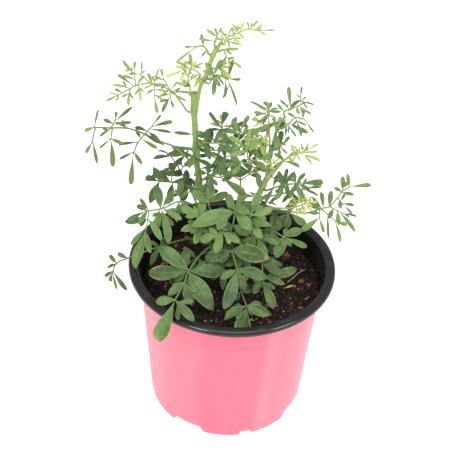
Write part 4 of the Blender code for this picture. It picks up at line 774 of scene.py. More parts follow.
class Grower:
    """Grows one leaf: a list of stalk lines, and a list of leaflets."""

    def __init__(self, leaf, space):
        self.leaf, self.space, self.plane = leaf, space, leaf_plane(leaf.facing)
        self.lines, self.leaflets, self.places, self.growth = [], [], [], []

    def skeleton(self):
        """The foot on the stem, a short elbow straight out of it, and each node with what it carries."""
        nodes = [np.array(node[:3], float) for node in self.leaf.nodes]
        path = smooth_path(STEMS[self.leaf.stem], 8)
        order = np.argmin(np.abs(path[:, 2] - self.leaf.height))
        centre, radius = path[order, :3], path[order, 3]
        axis = unit(path[min(order + 1, len(path) - 1), :3] - path[max(order - 1, 0), :3])
        out = nodes[0] - centre
        out = unit(out - axis * np.dot(out, axis))
        foot = centre + out * (radius + GAP + SWELLING)
        spine = [foot + out * ELBOW + axis * ELBOW * 0.6] + nodes
        stations = []
        for number, (_, _, _, *rows) in enumerate(self.leaf.nodes, start=1):
            point = spine[number]
            before = unit(point - spine[number - 1])
            after = unit(spine[number + 1] - point) if number + 1 < len(spine) else before
            along = unit(before + after)
            heading = angle_in_plane(along, self.plane)
            if number + 1 == len(spine) and rows:
                stations.append((point, along, *with_end(rows, heading)))
            else:
                stations.append((point, along, *left_and_right(rows, heading), None))
        return centre, foot, spine[0], stations

    def stalk(self):
        """The main stalk. Each leaflet at a node has its own short stretch of it, left and right."""
        centre_of_stem, foot, elbow, stations = self.skeleton()
        line = [(centre_of_stem, foot - centre_of_stem), (elbow, stations[0][0] - foot)]
        centre_before, before = elbow, None
        for point, along, lefts, rights, last in stations:
            left, _ = left_and_out(self.plane[2], along)
            count = max(len(lefts), len(rights), 1)
            for step in range(count + 1):
                centre = point + along * NODE_LENGTH * (step - count / 2)
                pair = (centre + left * (STALK_WIDTH / 2), centre - left * (STALK_WIDTH / 2))
                if step and step <= len(lefts):
                    self.growth.append(((before[0] + pair[0]) / 2, lefts[step - 1][1], 0.0))
                if step and step <= len(rights):
                    self.growth.append(((pair[1] + before[1]) / 2, rights[step - 1][1], 0.0))
                sides = left_and_out(self.plane[2], unit(centre - centre_before))
                self.space.add(*stalk_bar(centre_before, centre, *sides, 0.0))
                centre_before, before = centre, pair
                if step in (0, count):
                    line.append((centre, along))
            if last:
                self.growth.append(((before[0] + before[1]) / 2, last, 1.0))
        self.lines.append((line, *MAIN_STALK))

    def leaflet(self, root, angle, length, width, plane, rng, ends):
        """One leaflet, in the first of a few positions and sizes where it touches nothing."""
        lift, roll, bend = (rng.uniform(*span) for span in (LIFT, ROLL, BEND))
        for scale in SCALES:
            for pitch, swing in TRIES:
                along = in_plane(angle + swing, lift + pitch, plane)
                left, normal = turned(*left_and_out(plane[2], along), np.radians(roll))
                size = (root, along, left, normal, length * scale, width * scale ** 0.5, bend)
                if not self.space.meets(*leaflet_bar(*size, CLEAR)):
                    self.leaflets.append((*size, ends))
                    self.places.append(len(self.space.trees))
                    self.space.add(*leaflet_bar(*size, 0.0))
                    return

    def side_stalk(self, root, angle, length, carried, end_width, plane, rng):
        """A side stalk with pairs of leaflets and one at its end, or with a list of rows of its own."""
        if isinstance(carried, list):
            lefts, rights, last = with_end(carried, angle)
            count = max(len(lefts), len(rights), 1)
            reach = max(length, ROW_ROOM * count + 0.4)
        else:
            lefts, rights, last, count = [], [], None, carried
            reach = max(PAIR_ROOM * carried, length - self.leaf.length)
        lift = rng.uniform(*LIFT)
        for pitch, swing in TRIES:
            along = in_plane(angle + swing, lift + pitch, plane)
            left, normal = left_and_out(plane[2], along)
            end = root + along * reach
            if not self.space.meets(*stalk_bar(root, end, left, normal, CLEAR, SKIPPED_IN_TEST)):
                break
        else:
            return
        if abs(lift + pitch) >= STEEP:
            right = unit(plane[0] - normal * np.dot(plane[0], normal))
            plane = (right, np.cross(normal, right), normal)
        self.space.add(*stalk_bar(root, end, left, normal, 0.0, SKIPPED))
        self.lines.append(([(root - along * 0.5, along), (end, along)], *SIDE_STALK))
        heading = angle_in_plane(along, plane)
        self.grow(end, last or (heading, length - reach, end_width), plane, rng, 1.0)
        for number in reversed(range(count)):
            middle = root + along * (reach * (number + 1) / count - NODE_LENGTH / 2)
            if last:
                sides = [[row for _, row in rows[number:number + 1]] for rows in (lefts, rights)]
            else:
                size, spread = self.leaf.length * rng.uniform(0.75, 0.95), rng.uniform(44, 58)
                sides = [[(heading + spread * side, size, self.leaf.width)] for side in (1, -1)]
            for rows, out in zip(sides, (left, -left)):
                for row in rows:
                    self.grow(middle + out * (STALK_WIDTH / 2), row, plane, rng)

    def grow(self, root, row, plane, rng, ends=0.0):
        """What one row says: a leaflet, or a side stalk with what it carries."""
        angle, length, width, carried = (*row, 0, 0)[:4]
        width = width or self.leaf.width * rng.uniform(0.85, 1.15)
        if carried:
            self.side_stalk(root, angle, length, carried, width, plane, rng)
        else:
            self.leaflet(root, angle, length, width, plane, rng, ends)

    def lobes(self, rng):
        """Small side leaflets near the roots of the leaflets that have room for them.

        A lobe leaves its leaflet at a fifth of the way up or lower, at about 40 degrees, in the same plane.
        It may touch the leaflet that it belongs to, as on the plant, but nothing else.
        """
        often, shortest = LOBES[self.leaf.tone]
        for parent, place in list(zip(self.leaflets, self.places)):
            root, along, left, normal, length, width, bend, _ = parent
            if length < shortest:
                continue
            for side in (-1, 1):
                share, up = rng.uniform(0.38, 0.6), rng.uniform(0.02, 0.2)
                turn, lift = math.radians(rng.uniform(32, 55)), rng.uniform(-0.3, 0.3)
                if rng.random() > often:
                    continue
                for smaller in (1.0, 0.75):
                    out = unit(along * math.cos(turn) + left * side * math.sin(turn) + normal * lift)
                    size = (root + along * length * up, out, *left_and_out(normal, out),
                            length * share * smaller, width * (0.8 if width < 3 else 0.62) * smaller, bend)
                    if not self.space.meets(*leaflet_bar(*size, 0.15), besides=place):
                        self.leaflets.append((*size, 0.0))
                        self.space.add(*leaflet_bar(*size, 0.0))
                        break


# %% All the leaves grow
space = taken_at_first()
grown = [Grower(leaf, space) for leaf in LEAVES]
for grower in grown:
    grower.stalk()
for number, grower in enumerate(grown):
    rng = np.random.default_rng(100 + number)
    for root, row, ends in grower.growth:
        grower.grow(root, row, grower.plane, rng, ends)
print("leaflets:", sum(len(g.leaflets) for g in grown))
for number, grower in enumerate(grown):
    grower.lobes(np.random.default_rng(300 + number))
print("with side leaflets:", sum(len(g.leaflets) for g in grown), "stalks:", sum(len(g.lines) for g in grown))

# %% [markdown]
# A few leaflets also sit right at the stems, in the angles where leaves once grew. Each is given by its
# stem and height, the side of the stem that it grows from, and its direction, length and width.

# %% Leaflets at the stems
AXILS = [
    ("main", 177, -50, 180, 10.0, 1.9), ("main", 168, -40, 186, 11.0, 2.0), ("main", 163, -45, 168, 9.0, 2.6),
    ("main", 160, -20, 192, 6.0, 1.9), ("main", 179, 40, -24, 10.0, 3.0), ("main", 174, 20, -42, 8.0, 2.2),
    ("main", 155, 50, 14, 13.0, 2.4), ("main", 147, 50, 22, 8.0, 2.6), ("main", 139, 35, 4, 9.0, 3.0),
    ("main", 140, -40, 172, 8.0, 2.4), ("main", 131, 40, 28, 9.0, 3.0), ("main", 172, 10, 284, 9.0, 2.6),
    ("main", 165, -5, 252, 9.0, 2.7), ("main", 162, 10, 335, 10.0, 2.6), ("main", 158, -5, 155, 9.0, 2.5),
    ("main", 153, 5, 276, 10.0, 3.0), ("main", 146, 5, 38, 10.0, 3.0), ("main", 141, -5, 128, 9.0, 2.6),
    ("branch", 189, -60, 206, 14.5, 3.0), ("branch", 182, 10, 275, 8.0, 3.4),
    ("branch", 184, 50, 62, 6.0, 2.2), ("right", 134, 30, -30, 9.0, 2.8)]
axils = Grower(Leaf("stem_leaflets", None, 0, "mid", 8, 2.4, [], (0, 45)), space)
rng = np.random.default_rng(77)
for stem, height, turn, angle, length, width in AXILS:
    path = smooth_path(STEMS[stem], STEM_STEPS)
    *centre, radius = path[np.argmin(np.abs(path[:, 2] - height))]
    out = unit((math.sin(math.radians(turn)), -math.cos(math.radians(turn)), 0.25))
    root = centre + out * (radius + 0.5)
    axils.lines.append(([(np.array(centre), out), (root, out)], *SHORT_STALK))
    axils.leaflet(root, angle, length, width, axils.plane, rng, 0.0)
grown.append(axils)
print("leaflets at the stems:", len(axils.leaflets), "of", len(AXILS))

# %% [markdown]
# ## The leaf finish
# Rue is known for the bloom on its leaves: a pale bluish wax over the green, thickest on old leaves. The
# young tips have hardly any, and shine through yellow. So the mesh carries an age for each leaflet, with
# painted shade added to it where other leaflets cover it, and the colour runs through a ramp of ages. The
# pattern follows each blade by its own coordinates, along it and across it: a pale rib in the middle, faint
# side veins that slant forwards, and a pale edge that is partly the margin's own colour and partly a painted
# highlight. Fine pits, which are the oil glands that make rue smell, are a bump of small cells.


# %% Leaf finish
def leaf_finish():
    """Green by age and painted shade, with rib, veins, a pale edge that is partly painted highlight,
    mottling, bloom and glands.
    """
    finish = Finish("rue_leaf", Roughness=0.5, Specular_IOR_Level=0.30, Sheen_Weight=0.10,
                    Sheen_Roughness=0.4)
    coords = finish.node("ShaderNodeUVMap", {"uv_map": "UVMap"}).outputs["UV"]
    along, side = finish.axis(coords, 0), finish.axis(coords, 1) * 2.0 - 1.0
    off_rib = side.math("ABSOLUTE")
    blade, age, luck = finish.attribute("blade"), finish.attribute("age"), finish.attribute("luck")
    clouds, mottle, fine = finish.noise(150, 2), finish.noise(520, 3), finish.noise(1500, 2)
    glands = finish.cells(2400)
    rib = off_rib.step(0.10, 0.02) * blade * along.step(0.95, 0.30) * (0.5 + mottle)
    pale_margin_and_highlight = (off_rib + (mottle - 0.5) * 0.20).step(0.84, 0.98) * blade
    slant = (along * 9.0 - off_rib * 2.0 + mottle * 0.5).math("FRACT")
    veins = (slant - 0.5).math("ABSOLUTE").step(0.10, 0.0) * blade * off_rib.step(0.95, 0.6)
    # the ramp takes the age with the painted shade added to it
    tint = finish.ramp(age + (clouds - 0.5) * 0.3, [
        (0.0, (0.57, 0.65, 0.15)), (0.3, (0.31, 0.42, 0.12)), (0.6, (0.146, 0.258, 0.066)),
        (0.85, (0.095, 0.172, 0.047)), (1.0, (0.056, 0.100, 0.027))])
    dark = clouds.step(0.45, 0.62) * age.step(0.4, 0.9) * blade
    dull = (mottle * 0.5 + fine * 0.5).step(0.44, 0.62) * age.step(0.25, 0.9) * blade
    browned = (off_rib * 0.6 + along * 0.5 + (mottle - 0.5) * 0.6).step(0.72, 1.0) * luck.step(0.55, 0.95)
    dry = (along + (mottle - 0.5) * 0.25).step(0.80, 0.98) * luck.step(0.92, 0.99) * blade
    colour = finish.layers(
        tint,
        (mottle.step(0.38, 0.66) * 0.16, (0.20, 0.31, 0.10)),
        (dark * 0.40, (0.048, 0.100, 0.022)),
        (dull * (0.06 + off_rib * 0.10), (0.34, 0.42, 0.28)),
        (along.step(0.5, 0.0) * 0.25 * blade, (0.18, 0.30, 0.08)),
        (rib * 0.26 + veins * 0.07, (0.36, 0.46, 0.20)),
        # the leaflet's paler margin, with a painted highlight along its edge
        (pale_margin_and_highlight * 0.46, (0.42, 0.47, 0.29)),
        (browned * blade * age.step(0.4, 0.8) * 0.45, (0.34, 0.29, 0.12)),
        (dry * age.step(0.45, 0.75), (0.55, 0.46, 0.14)),
        ((1.0 - blade) * (0.58 - age * 0.36), (0.26, 0.35, 0.13)))      # stalks
    finish.bump(fine * 0.35 + mottle * 0.5 + glands * 0.3 - rib * 0.8 - veins * 0.45, 0.16)
    return finish.paint(Base_Color=colour, Roughness=0.40 + fine * 0.25)


leaf_green = leaf_finish()
print("leaf finish:", len(leaf_green.tree.nodes), "nodes")

# %% [markdown]
# ## Leaflets as surfaces
# A leaflet is a thin closed blade, shaped like a narrow spoon: a wedge at the root, widest past the
# middle, and round at the tip. Its width is a power of the way along times a power of the way left, which
# gives just that. Across it, its ring of points goes over the top from edge to edge and back underneath.
# The two halves cup up a little, the blade bends back and twists, and its edges wave slowly. All the
# leaflets of a leaf are worked out as one array. A leaflet that ends a stalk is the most like a spoon. The
# small ones, which are most of them, get fewer points.

# %% Leaflet surfaces
LONG = 11.0                    # from this length on a leaflet is a large one
# Sides across the top, and rows along: whether a leaflet is large picks one
OVER = {True: np.array([-1.0, -0.86, -0.5, -0.12, 0.12, 0.5, 0.86]),
        False: np.array([-1.0, -0.56, 0.0, 0.56])}
BLADE_ROWS = {True: 15, False: 10}
THICKNESS = 0.34
ROOT_DEPTH = 0.55              # the root sits inside its stalk by this
ROOT_HALF = 0.26               # half the width that a blade has at least up to its middle
# The span of each number that makes one leaflet differ from the next
SPANS = {"cup": (0.2, 0.7), "sway": (-0.09, 0.09), "wave": (0.03, 0.16), "phase": (0, 6.3),
         "twist": (-0.45, 0.45), "curl": (-0.05, 0.14), "low": (0.95, 1.3), "high": (0.6, 0.95),
         "skew": (-0.12, 0.12)}
# How much fuller the leaflets are than the plain solids: by tone, or first by a word in the leaf's name
WIDER = {"young": 1.02, "mid": 1.14, "old": 1.05}
OWN_WIDER = {"shoot": 1.02, "crown": 0.96, "top": 0.96, "centre": 1.32, "back": 1.32, "high": 1.3,
             "shoulder": 1.25}


def blade_width(share, low, high):
    """Share of the greatest width: the way along to a power, times the way left to another power."""
    peak = low / (low + high)
    return share ** low * (1 - share) ** high / (peak ** low * (1 - peak) ** high)


def leaflet_points(rows, rng, large):
    """Points of many leaflets, as an array of leaflet, row, side and xyz.

    A point is the centre line's point, plus its side times the half width, plus a rise along the normal.
    The rise is the cupping (growing from the rib), the wave of the edge, and half the thickness. The two
    directions across and out of the blade turn about it slowly, so that the tip is twisted.
    """
    sides = np.concatenate([OVER[large], -OVER[large]])               # over the top and back underneath
    face = np.repeat([1.0, -1.0], len(OVER[large]))
    roots, alongs, lefts, normals, lengths, widths, bends, ends = (
        np.array(column)[:, None] for column in zip(*rows))
    cup, sway, wave, phase, twist, curl, low, high, skew = (
        rng.uniform(*span, (len(rows), 1)) for span in SPANS.values())
    slender = np.clip((lengths / widths - 3.4) / 2, 0, 1)
    low = low + 0.2 * slender + 0.35 * ends
    high = np.maximum(0.38, high - 0.25 * slender - 0.28 * ends)
    share = (1 - np.cos(np.pi * np.linspace(0, 1, BLADE_ROWS[large])[None])) / 2    # closer at both ends
    half = widths / 2 * blade_width(share, low, high)
    half = np.where(share < 0.5, np.maximum(half, ROOT_HALF), half)
    reach, bent = share * (lengths + ROOT_DEPTH) - ROOT_DEPTH, lengths * share ** 2
    centre = (roots + alongs * reach[..., None] + lefts * (sway * bent)[..., None]
              - normals * (bends * bent + curl * lengths * share ** 3)[..., None])
    lefts, normals = turned(lefts, normals, (twist * share ** 1.5)[..., None])
    half, share = half[..., None], share[..., None]
    half = half * (1 + skew[..., None] * sides)
    rise = (np.abs(sides) ** 1.2 * half * cup[..., None]
            + np.abs(sides) * half * wave[..., None] * np.sin(9.0 * share + phase[..., None] + 1.5 * sides)
            + face * THICKNESS / 2 * np.sqrt(1 - 0.94 * sides ** 2) * np.minimum(1.0, 0.35 + 4 * (1 - share)))
    points = (centre[:, :, None] + lefts[:, :, None] * (sides * half)[..., None]
              + normals[:, :, None] * rise[..., None])
    return points, share[0, :, 0], centre, (sides + 1) / 2


def blade_share(uv):
    """How much of a blade a point is: nothing at its root, and all of it from a sixth of the way on."""
    return np.clip(uv[:, 0] * 9 - 0.4, 0, 1)


def leaflet_skin(rows, rng, large=True):
    """The closed skin of many leaflets, with their coordinates along and across."""
    points, share, centre, side = leaflet_points(rows, rng, large)
    count, total, ring = points.shape[:3]
    body = points[:, 1:-1].reshape(count, -1, 3)
    skin = np.concatenate([centre[:, :1], body, centre[:, -1:]], axis=1).reshape(-1, 3)
    quads, triangles = ring_faces(count, total - 2, ring)
    along = np.concatenate([[0.0], np.repeat(share[1:-1], ring), [1.0]])
    over = np.concatenate([[0.5], np.tile(side, total - 2), [0.5]])
    return skin, quads, triangles, np.tile(np.stack([along, over], axis=1), (count, 1))


# %% [markdown]
# ## Stalks as tubes
# A stalk is a circle carried along a smooth line. The line is a chain of Hermite curves: each piece
# starts and ends in given points with given directions, so it passes a node exactly the way the node
# points. The circle is kept upright by one direction that the whole line keeps away from.


# %% Tubes
EASE = 0.8                     # how strongly a line follows its directions


def hermite(line, steps):
    """Points on a chain of Hermite curves through (point, direction) pairs."""
    points = np.array([point for point, _ in line], float)
    directions = unit(np.array([direction for _, direction in line], float))
    spans = np.linalg.norm(np.diff(points, axis=0), axis=1)[:, None, None]
    t = (np.arange(steps) / steps)[None, :, None]
    a, b = points[:-1, None], points[1:, None]
    p, q = directions[:-1, None] * spans * EASE, directions[1:, None] * spans * EASE
    curve = (a * (2 * t ** 3 - 3 * t ** 2 + 1) + p * (t ** 3 - 2 * t ** 2 + t)
             + b * (3 * t ** 2 - 2 * t ** 3) + q * (t ** 3 - t ** 2))
    return np.vstack([curve.reshape(-1, 3), points[-1:]])


def tube_points(path, radii, ring):
    """Rings of points round a path: each point is the centre plus radius times a turned direction."""
    away = np.linalg.svd(path - path.mean(axis=0))[2][-1]
    side, top = left_and_out(away, unit(np.gradient(path, axis=0)))
    turns = np.linspace(0, 2 * np.pi, ring, endpoint=False)
    circle = side[:, None] * np.cos(turns)[None, :, None] + top[:, None] * np.sin(turns)[None, :, None]
    return path[:, None] + circle * np.reshape(radii, (len(path), -1, 1))


def tube_skin(path, radii, ring):
    """The closed skin of one tube, with a point at each end."""
    points = tube_points(path, radii, ring)
    skin = np.concatenate([path[:1], points.reshape(-1, 3), path[-1:]])
    quads, triangles = ring_faces(1, len(path), ring)
    return skin, quads, triangles


def joined(skins):
    """Several skins as one: points, quads and triangles, with each one's numbers moved on."""
    points, quads, triangles = zip(*skins)
    starts = np.cumsum([0, *map(len, points[:-1])])
    return (np.concatenate(points), *(np.concatenate([part + start for part, start in zip(parts, starts)])
                                      for parts in (quads, triangles)))


# %% [markdown]
# ## Making the leaves
# Age is what tells the leaves apart. It starts from the leaf's own tone, and differs a little from one
# leaflet to the next. Inside the bush and low down, painted shade is added to it: a leaflet that others cover
# is pushed towards the darker end of the ramp, in place of the shade that falls on it. So how much covers
# each leaflet is counted first: every leaflet above it counts by its area and by how near it is, along a bell
# curve of the sideways distance.

# %% Leaves
AGES = {"old": 0.86, "mid": 0.67, "young": 0.10}
PAINTED_SHADE = 0.27                   # painted shade: how far a covered leaflet is pushed towards the darker end of the ramp, against one in the open
YOUNG_PAINTED_SHADE = PAINTED_SHADE * 0.3      # young ones get less of the painted shade
SPREAD, FADES, NEAR = 60.0, 25.0, 1.0      # of the painted shade: mm2 sideways, mm upwards, and mm until it is full
LEAF_VARIES, LEAFLET_VARIES = 0.05, 0.08   # of the age
STALK_YOUNGER = 0.1            # a stalk looks younger than its leaflets
OWN_AGE = {"leaf_top_left": 0.42, "leaf_crown_right": 0.46, "leaf_crown_top": 0.58,
           "leaf_shoot_sheath": 0.44, "leaf_low_left": 0.77, "leaf_centre_front": 0.66, "leaf_front": 0.90,
           "leaf_front_right": 1.0, "leaf_front_low": 0.95, "leaf_low_front": 0.95, "leaf_low_right": 0.95,
           "leaf_right_front": 0.95, "leaf_trailing": 0.95, "shoot_side": 0.18, "shoot_right": 0.05,
           "shoot_fork": 0.2, "leaf_right_top": 0.64, "leaf_right_top_low": 0.62, "leaf_right_top_left": 0.68,
           "leaf_right_top_right": 0.64, "leaf_far_right": 0.62, "leaf_left": 0.78, "leaf_crown_left": 0.60,
           "leaf_crown_drooping": 0.66, "leaf_centre": 0.53, "leaf_centre_right": 0.60,
           "leaf_back_high": 0.44, "leaf_back": 0.45, "leaf_back_right": 0.48, "leaf_inner_high": 0.6}
WORN = {"leaf_front": 0.942, "leaf_front_low": 0.975, "leaf_right_low": 0.99}    # with a dry end leaflet
STALK_STEPS, SIDE_STEPS, STALK_SIDES = 5, 3, 8    # steps of a leaf's own stalk and of the others, and sides


def cover(all_rows):
    """How much covers each leaflet, from 0 for nothing towards 1: above it, area times nearness, summed."""
    middles = np.array([row[0] + row[1] * row[4] / 2 for row in all_rows])
    areas = np.array([row[4] * row[5] for row in all_rows])
    gaps = middles[None] - middles[:, None]
    above = np.clip(gaps[..., 2] - NEAR, 0, 1) / (1 + np.maximum(gaps[..., 2], 0) / FADES)
    near = np.exp(-np.sum(gaps[..., :2] ** 2, axis=-1) / SPREAD)
    total = np.sum(above * near * areas, axis=1)
    return total / (total + np.median(total))


covered = iter(np.split(cover([row for grower in grown for row in grower.leaflets]),
                        np.cumsum([len(grower.leaflets) for grower in grown])[:-1]))


def leaf_piece(grower, number, shade):
    """One compound leaf: all its stalks as tubes and all its leaflets as blades, in one mesh."""
    leaf, rng = grower.leaf, np.random.default_rng(500 + number)
    skins, uvs = [], []
    for line, thick, thin in grower.lines:
        own = len(line) > 2                                          # the leaf's own stalk
        path = hermite(line, STALK_STEPS if own else SIDE_STEPS)
        far = np.concatenate([[0.0], np.cumsum(np.linalg.norm(np.diff(path, axis=0), axis=1))])
        radii = thick + (thin - thick) * far / far[-1]
        if own:
            radii = radii + 0.35 * np.exp(-far / 2.0)                # a swelling at its foot
        skins.append(tube_skin(path, radii, STALK_SIDES))
        share = np.concatenate([[0], np.repeat(far / far[-1], STALK_SIDES), [1]])
        uvs.append(np.stack([share, np.full(len(share), 0.5)], axis=1))
    stalks = sum(map(len, uvs))
    age_here = OWN_AGE.get(leaf.name, AGES[leaf.tone] + rng.normal(0, LEAF_VARIES))
    painted_shade = YOUNG_PAINTED_SHADE if leaf.tone == "young" else PAINTED_SHADE
    # painted shade: leaflets that others cover are pushed towards the darker, older end of the ramp
    ages_and_shade = age_here + rng.normal(0, LEAFLET_VARIES, len(grower.leaflets)) + painted_shade * (shade - 0.5)
    lucks = rng.random(len(grower.leaflets))
    wider = next((share for part, share in OWN_WIDER.items() if part in leaf.name), WIDER[leaf.tone])
    rows = [(*row[:5], row[5] * wider, *row[6:]) for row in grower.leaflets]
    lengths = np.array([row[4] for row in rows])
    end = np.argmax([row[4] * row[7] for row in rows])
    lucks[end] = WORN.get(leaf.name, lucks[end])
    blade, age, luck = [np.zeros(stalks)], [np.full(stalks, age_here - STALK_YOUNGER)], [np.zeros(stalks)]
    for large in (True, False):
        chosen = np.flatnonzero((lengths >= LONG) == large)
        if len(chosen):
            *skin, uv = leaflet_skin([rows[i] for i in chosen], rng, large)
            skins.append(skin)
            uvs.append(uv)
            blade.append(blade_share(uv))
            for layer, values in (age, ages_and_shade), (luck, lucks):
                layer.append(np.repeat(values[chosen], len(uv) // len(chosen)))
    layers = {"uv": uvs, "blade": blade, "age": age, "luck": luck}
    layers = {name: np.concatenate(values) for name, values in layers.items()}
    layers["age"] = np.clip(layers["age"], 0, 1)
    mesh = new_mesh(leaf.name, *joined(skins), layers)
    replaced = [leaf.name] if leaf.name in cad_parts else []
    return new_piece(leaf.name + "_fine", mesh, leaf_green, "leaf_" + leaf.tone, *replaced)


for number, (grower, shade) in enumerate(zip(grown, covered)):
    leaf_piece(grower, number, shade)
print("leaves:", sum(len(piece.data.polygons) for piece in pieces), "faces")

# %% [markdown]
# ## Stems
# The stems are tubes too, but their circle isn't even: it has shallow ridges, a swelling where each leaf
# joins, and thin rings where old leaves fell. The main stem was cut off at the top, so it ends in a flat
# cut with pale pith that has sunk a little, and the shoot beside it has taken over.

# %% Stems
STEM_SIDES = 18
JOINT, SCAR = (0.28, 1.4), (0.12, 0.7)     # size and spread of the swelling at a leaf, and of an old scar
# The caps of a stem: the size of each ring against the stem's last one, and its height over it
CUT_CAPS = [(0.93, 0.12), (0.78, 0.02), (0.6, -0.25), (0.3, -0.55)]
ROUND_CAPS = [(0.86, 0.25), (0.6, 0.55), (0.3, 0.75)]


def swollen(path, radii, spots, size, spread):
    """Radii with a bump at each spot: size times a bell curve of the distance, spread mm wide."""
    for spot in spots:
        radii = radii + size * np.exp(-np.sum((path - spot) ** 2, axis=1) / spread ** 2)[:, None]
    return radii


def stem_skin(name, points, rng):
    """A stem's closed skin, its cut or rounded top, and how much of each point is pith."""
    path = smooth_path(points, STEM_STEPS)
    path, radii = path[:, :3], path[:, 3:]
    turns = np.linspace(0, 2 * np.pi, STEM_SIDES, endpoint=False)
    radii = radii * (1 + 0.035 * np.cos(5 * turns + path[:, 2:] * 0.02) + 0.02 * np.cos(2 * turns + 1))
    joints = [grower.lines[0][0][0][0] for grower in grown if grower.leaf.stem == name]
    radii = swollen(path, radii, joints, *JOINT)
    scars = path[rng.integers(8, len(path) - 8, len(path) // 11)]
    radii = swollen(path, radii, scars, *SCAR)
    rings = tube_points(path, radii, STEM_SIDES)
    along = unit(path[-1] - path[-3])
    middle, last = path[-1], rings[-1]
    caps = CUT_CAPS if name == "main" else ROUND_CAPS
    tops = [middle + (last - middle) * size + along * lift for size, lift in caps]
    skin = np.concatenate([path[:1], rings.reshape(-1, 3), *tops, [middle + along * caps[-1][1]]])
    pith = np.zeros(len(skin))
    if name == "main":
        pith[-3 * STEM_SIDES - 1:] = 1.0                             # the last three rings and the middle
    return (skin, *ring_faces(1, len(path) + len(caps), STEM_SIDES)), pith


def stem_finish():
    """Green above, corky grey below, with fine lengthwise streaks, lenticels and pale pith."""
    finish = Finish("rue_stem", Roughness=0.55, Specular_IOR_Level=0.3)
    up = finish.axis(finish.place, 2)
    pith, blush = finish.attribute("pith"), finish.attribute("blush")
    streaks = finish.noise(900, 3, squeeze=(1, 1, 0.12))
    clouds = finish.noise(160, 3)
    pores = finish.cells(700)
    level = (up - 0.085) * 8.0 + (clouds - 0.5) * 0.35
    green = finish.ramp(level, [
        (0.0, (0.16, 0.14, 0.07)), (0.10, (0.15, 0.20, 0.07)), (0.45, (0.19, 0.30, 0.080)),
        (0.8, (0.20, 0.31, 0.08)), (1.0, (0.32, 0.44, 0.11))])
    fresh = finish.attribute("fresh") * up.step(0.120, 0.142)
    colour = finish.layers(
        green,
        (fresh * 0.8, (0.38, 0.52, 0.16)),
        (streaks.step(0.42, 0.75) * 0.35, (0.34, 0.42, 0.19)),
        (pores.step(0.22, 0.10) * 0.35, (0.40, 0.38, 0.22)),
        (blush * 0.5, (0.42, 0.24, 0.14)),
        (pith, (0.55, 0.60, 0.34)))
    finish.bump(streaks * 0.6 + pores.step(0.25, 0.05) * 0.3 + clouds * 0.3, 0.16)
    return finish.paint(Base_Color=colour, Roughness=0.45 + streaks * 0.2)


FRESH = ("right", "fork")      # stems of this year, pale green higher up
BLUSH = np.array([19.6, 8.5, 158.0])                                 # a small reddish patch low on the fork
CROWN_RADII = [(76, 4), (84, 4), (90, 3.2), (94, 2.4), (96.5, 1.2)]  # each after its height
rng = np.random.default_rng(7)
named = {**STEMS, "crown": [(*CROWN, height, radius) for height, radius in CROWN_RADII]}
skins, piths = zip(*(stem_skin(name, points, rng) for name, points in named.items()))
points, quads, triangles = joined(skins)
stem_mesh = new_mesh("stems", points, quads, triangles, {
    "pith": np.concatenate(piths), "blush": np.exp(-np.sum((points - BLUSH) ** 2, axis=1) / 9.0),
    "fresh": np.concatenate([np.full(len(pith), float(name in FRESH)) for name, pith in zip(named, piths)])})
new_piece("stems_fine", stem_mesh, stem_finish(), "stem", "stems")
print("stems:", len(stem_mesh.polygons), "faces")

# %% [markdown]
# ## The pot
# The pot is two layers of plastic pressed together. Each layer here is one closed outline, out along its
# outer face and back along its inner one, turned round the axis. Its corners are rounded in the outline.
# Under the wall, the outline's height is raised to that of the notches that let water run out between
# the feet, so the openings need no cutting. Their sides are steep but not upright, as in the mould.


# %% Turned outlines
def rounded(line, cuts):
    """An open line with rounded corners: each is a parabola that starts and ends a cut away from it."""
    line = np.asarray(line, float)
    result = [line[:1]]
    t = np.linspace(0, 1, 5)[:, None]
    for before, corner, after, cut in zip(line, line[1:], line[2:], cuts):
        start = corner + unit(before - corner) * cut
        end = corner + unit(after - corner) * cut
        result.append(start * (1 - t) ** 2 + 2 * corner * t * (1 - t) + end * t ** 2)
    return np.concatenate([*result, line[-1:]])


def subdivided(line, longest):
    """A line with extra points, so that no side is longer than the longest."""
    result = []
    for start, end in zip(line, line[1:]):
        count = max(1, math.ceil(np.linalg.norm(end - start) / longest))
        result.append(start + (end - start) * (np.arange(count) / count)[:, None])
    return np.concatenate([*result, line[-1:]])


def offset(line, distance):
    """A line moved sideways by a distance, with each corner on the bisector of its two sides."""
    sides = np.diff(line, axis=0)
    normals = unit(np.stack([sides[:, 1], -sides[:, 0]], axis=1))
    before, after = np.vstack([normals[:1], normals]), np.vstack([normals, normals[-1:]])
    middle = before + after
    return line + middle * (distance / (1 + np.sum(before * after, axis=1)))[:, None]


def shell_outline(line, near, far):
    """A closed outline round a line: forth at one offset, back at the other, and which half it is."""
    forth, back_again = offset(line, near), offset(line, far)[::-1]
    return np.concatenate([forth, back_again]), np.repeat([0.0, 1.0], len(line))


def turned_mesh(name, radii, heights, turns):
    """A closed ring surface: the outline's radii and heights at each turn, counted from the front."""
    rows, columns = radii.shape
    points = np.stack([radii * np.sin(turns), -radii * np.cos(turns), heights], axis=-1).reshape(-1, 3)
    row, column = np.meshgrid(np.arange(rows), np.arange(columns), indexing="ij")
    below, beside = (row + 1) % rows, (column + 1) % columns
    quads = np.stack([row * columns + column, below * columns + column,
                      below * columns + beside, row * columns + beside], axis=-1).reshape(-1, 4)
    return new_mesh(name, points, quads, np.empty((0, 3), int))


# The two notches in each quarter: the angle of the middle, the flat and the whole half width, the height
WIDE, NARROW = (62.5, 10.0, 13.6, 4.7), (17.0, 3.76, 5.04, 3.5)


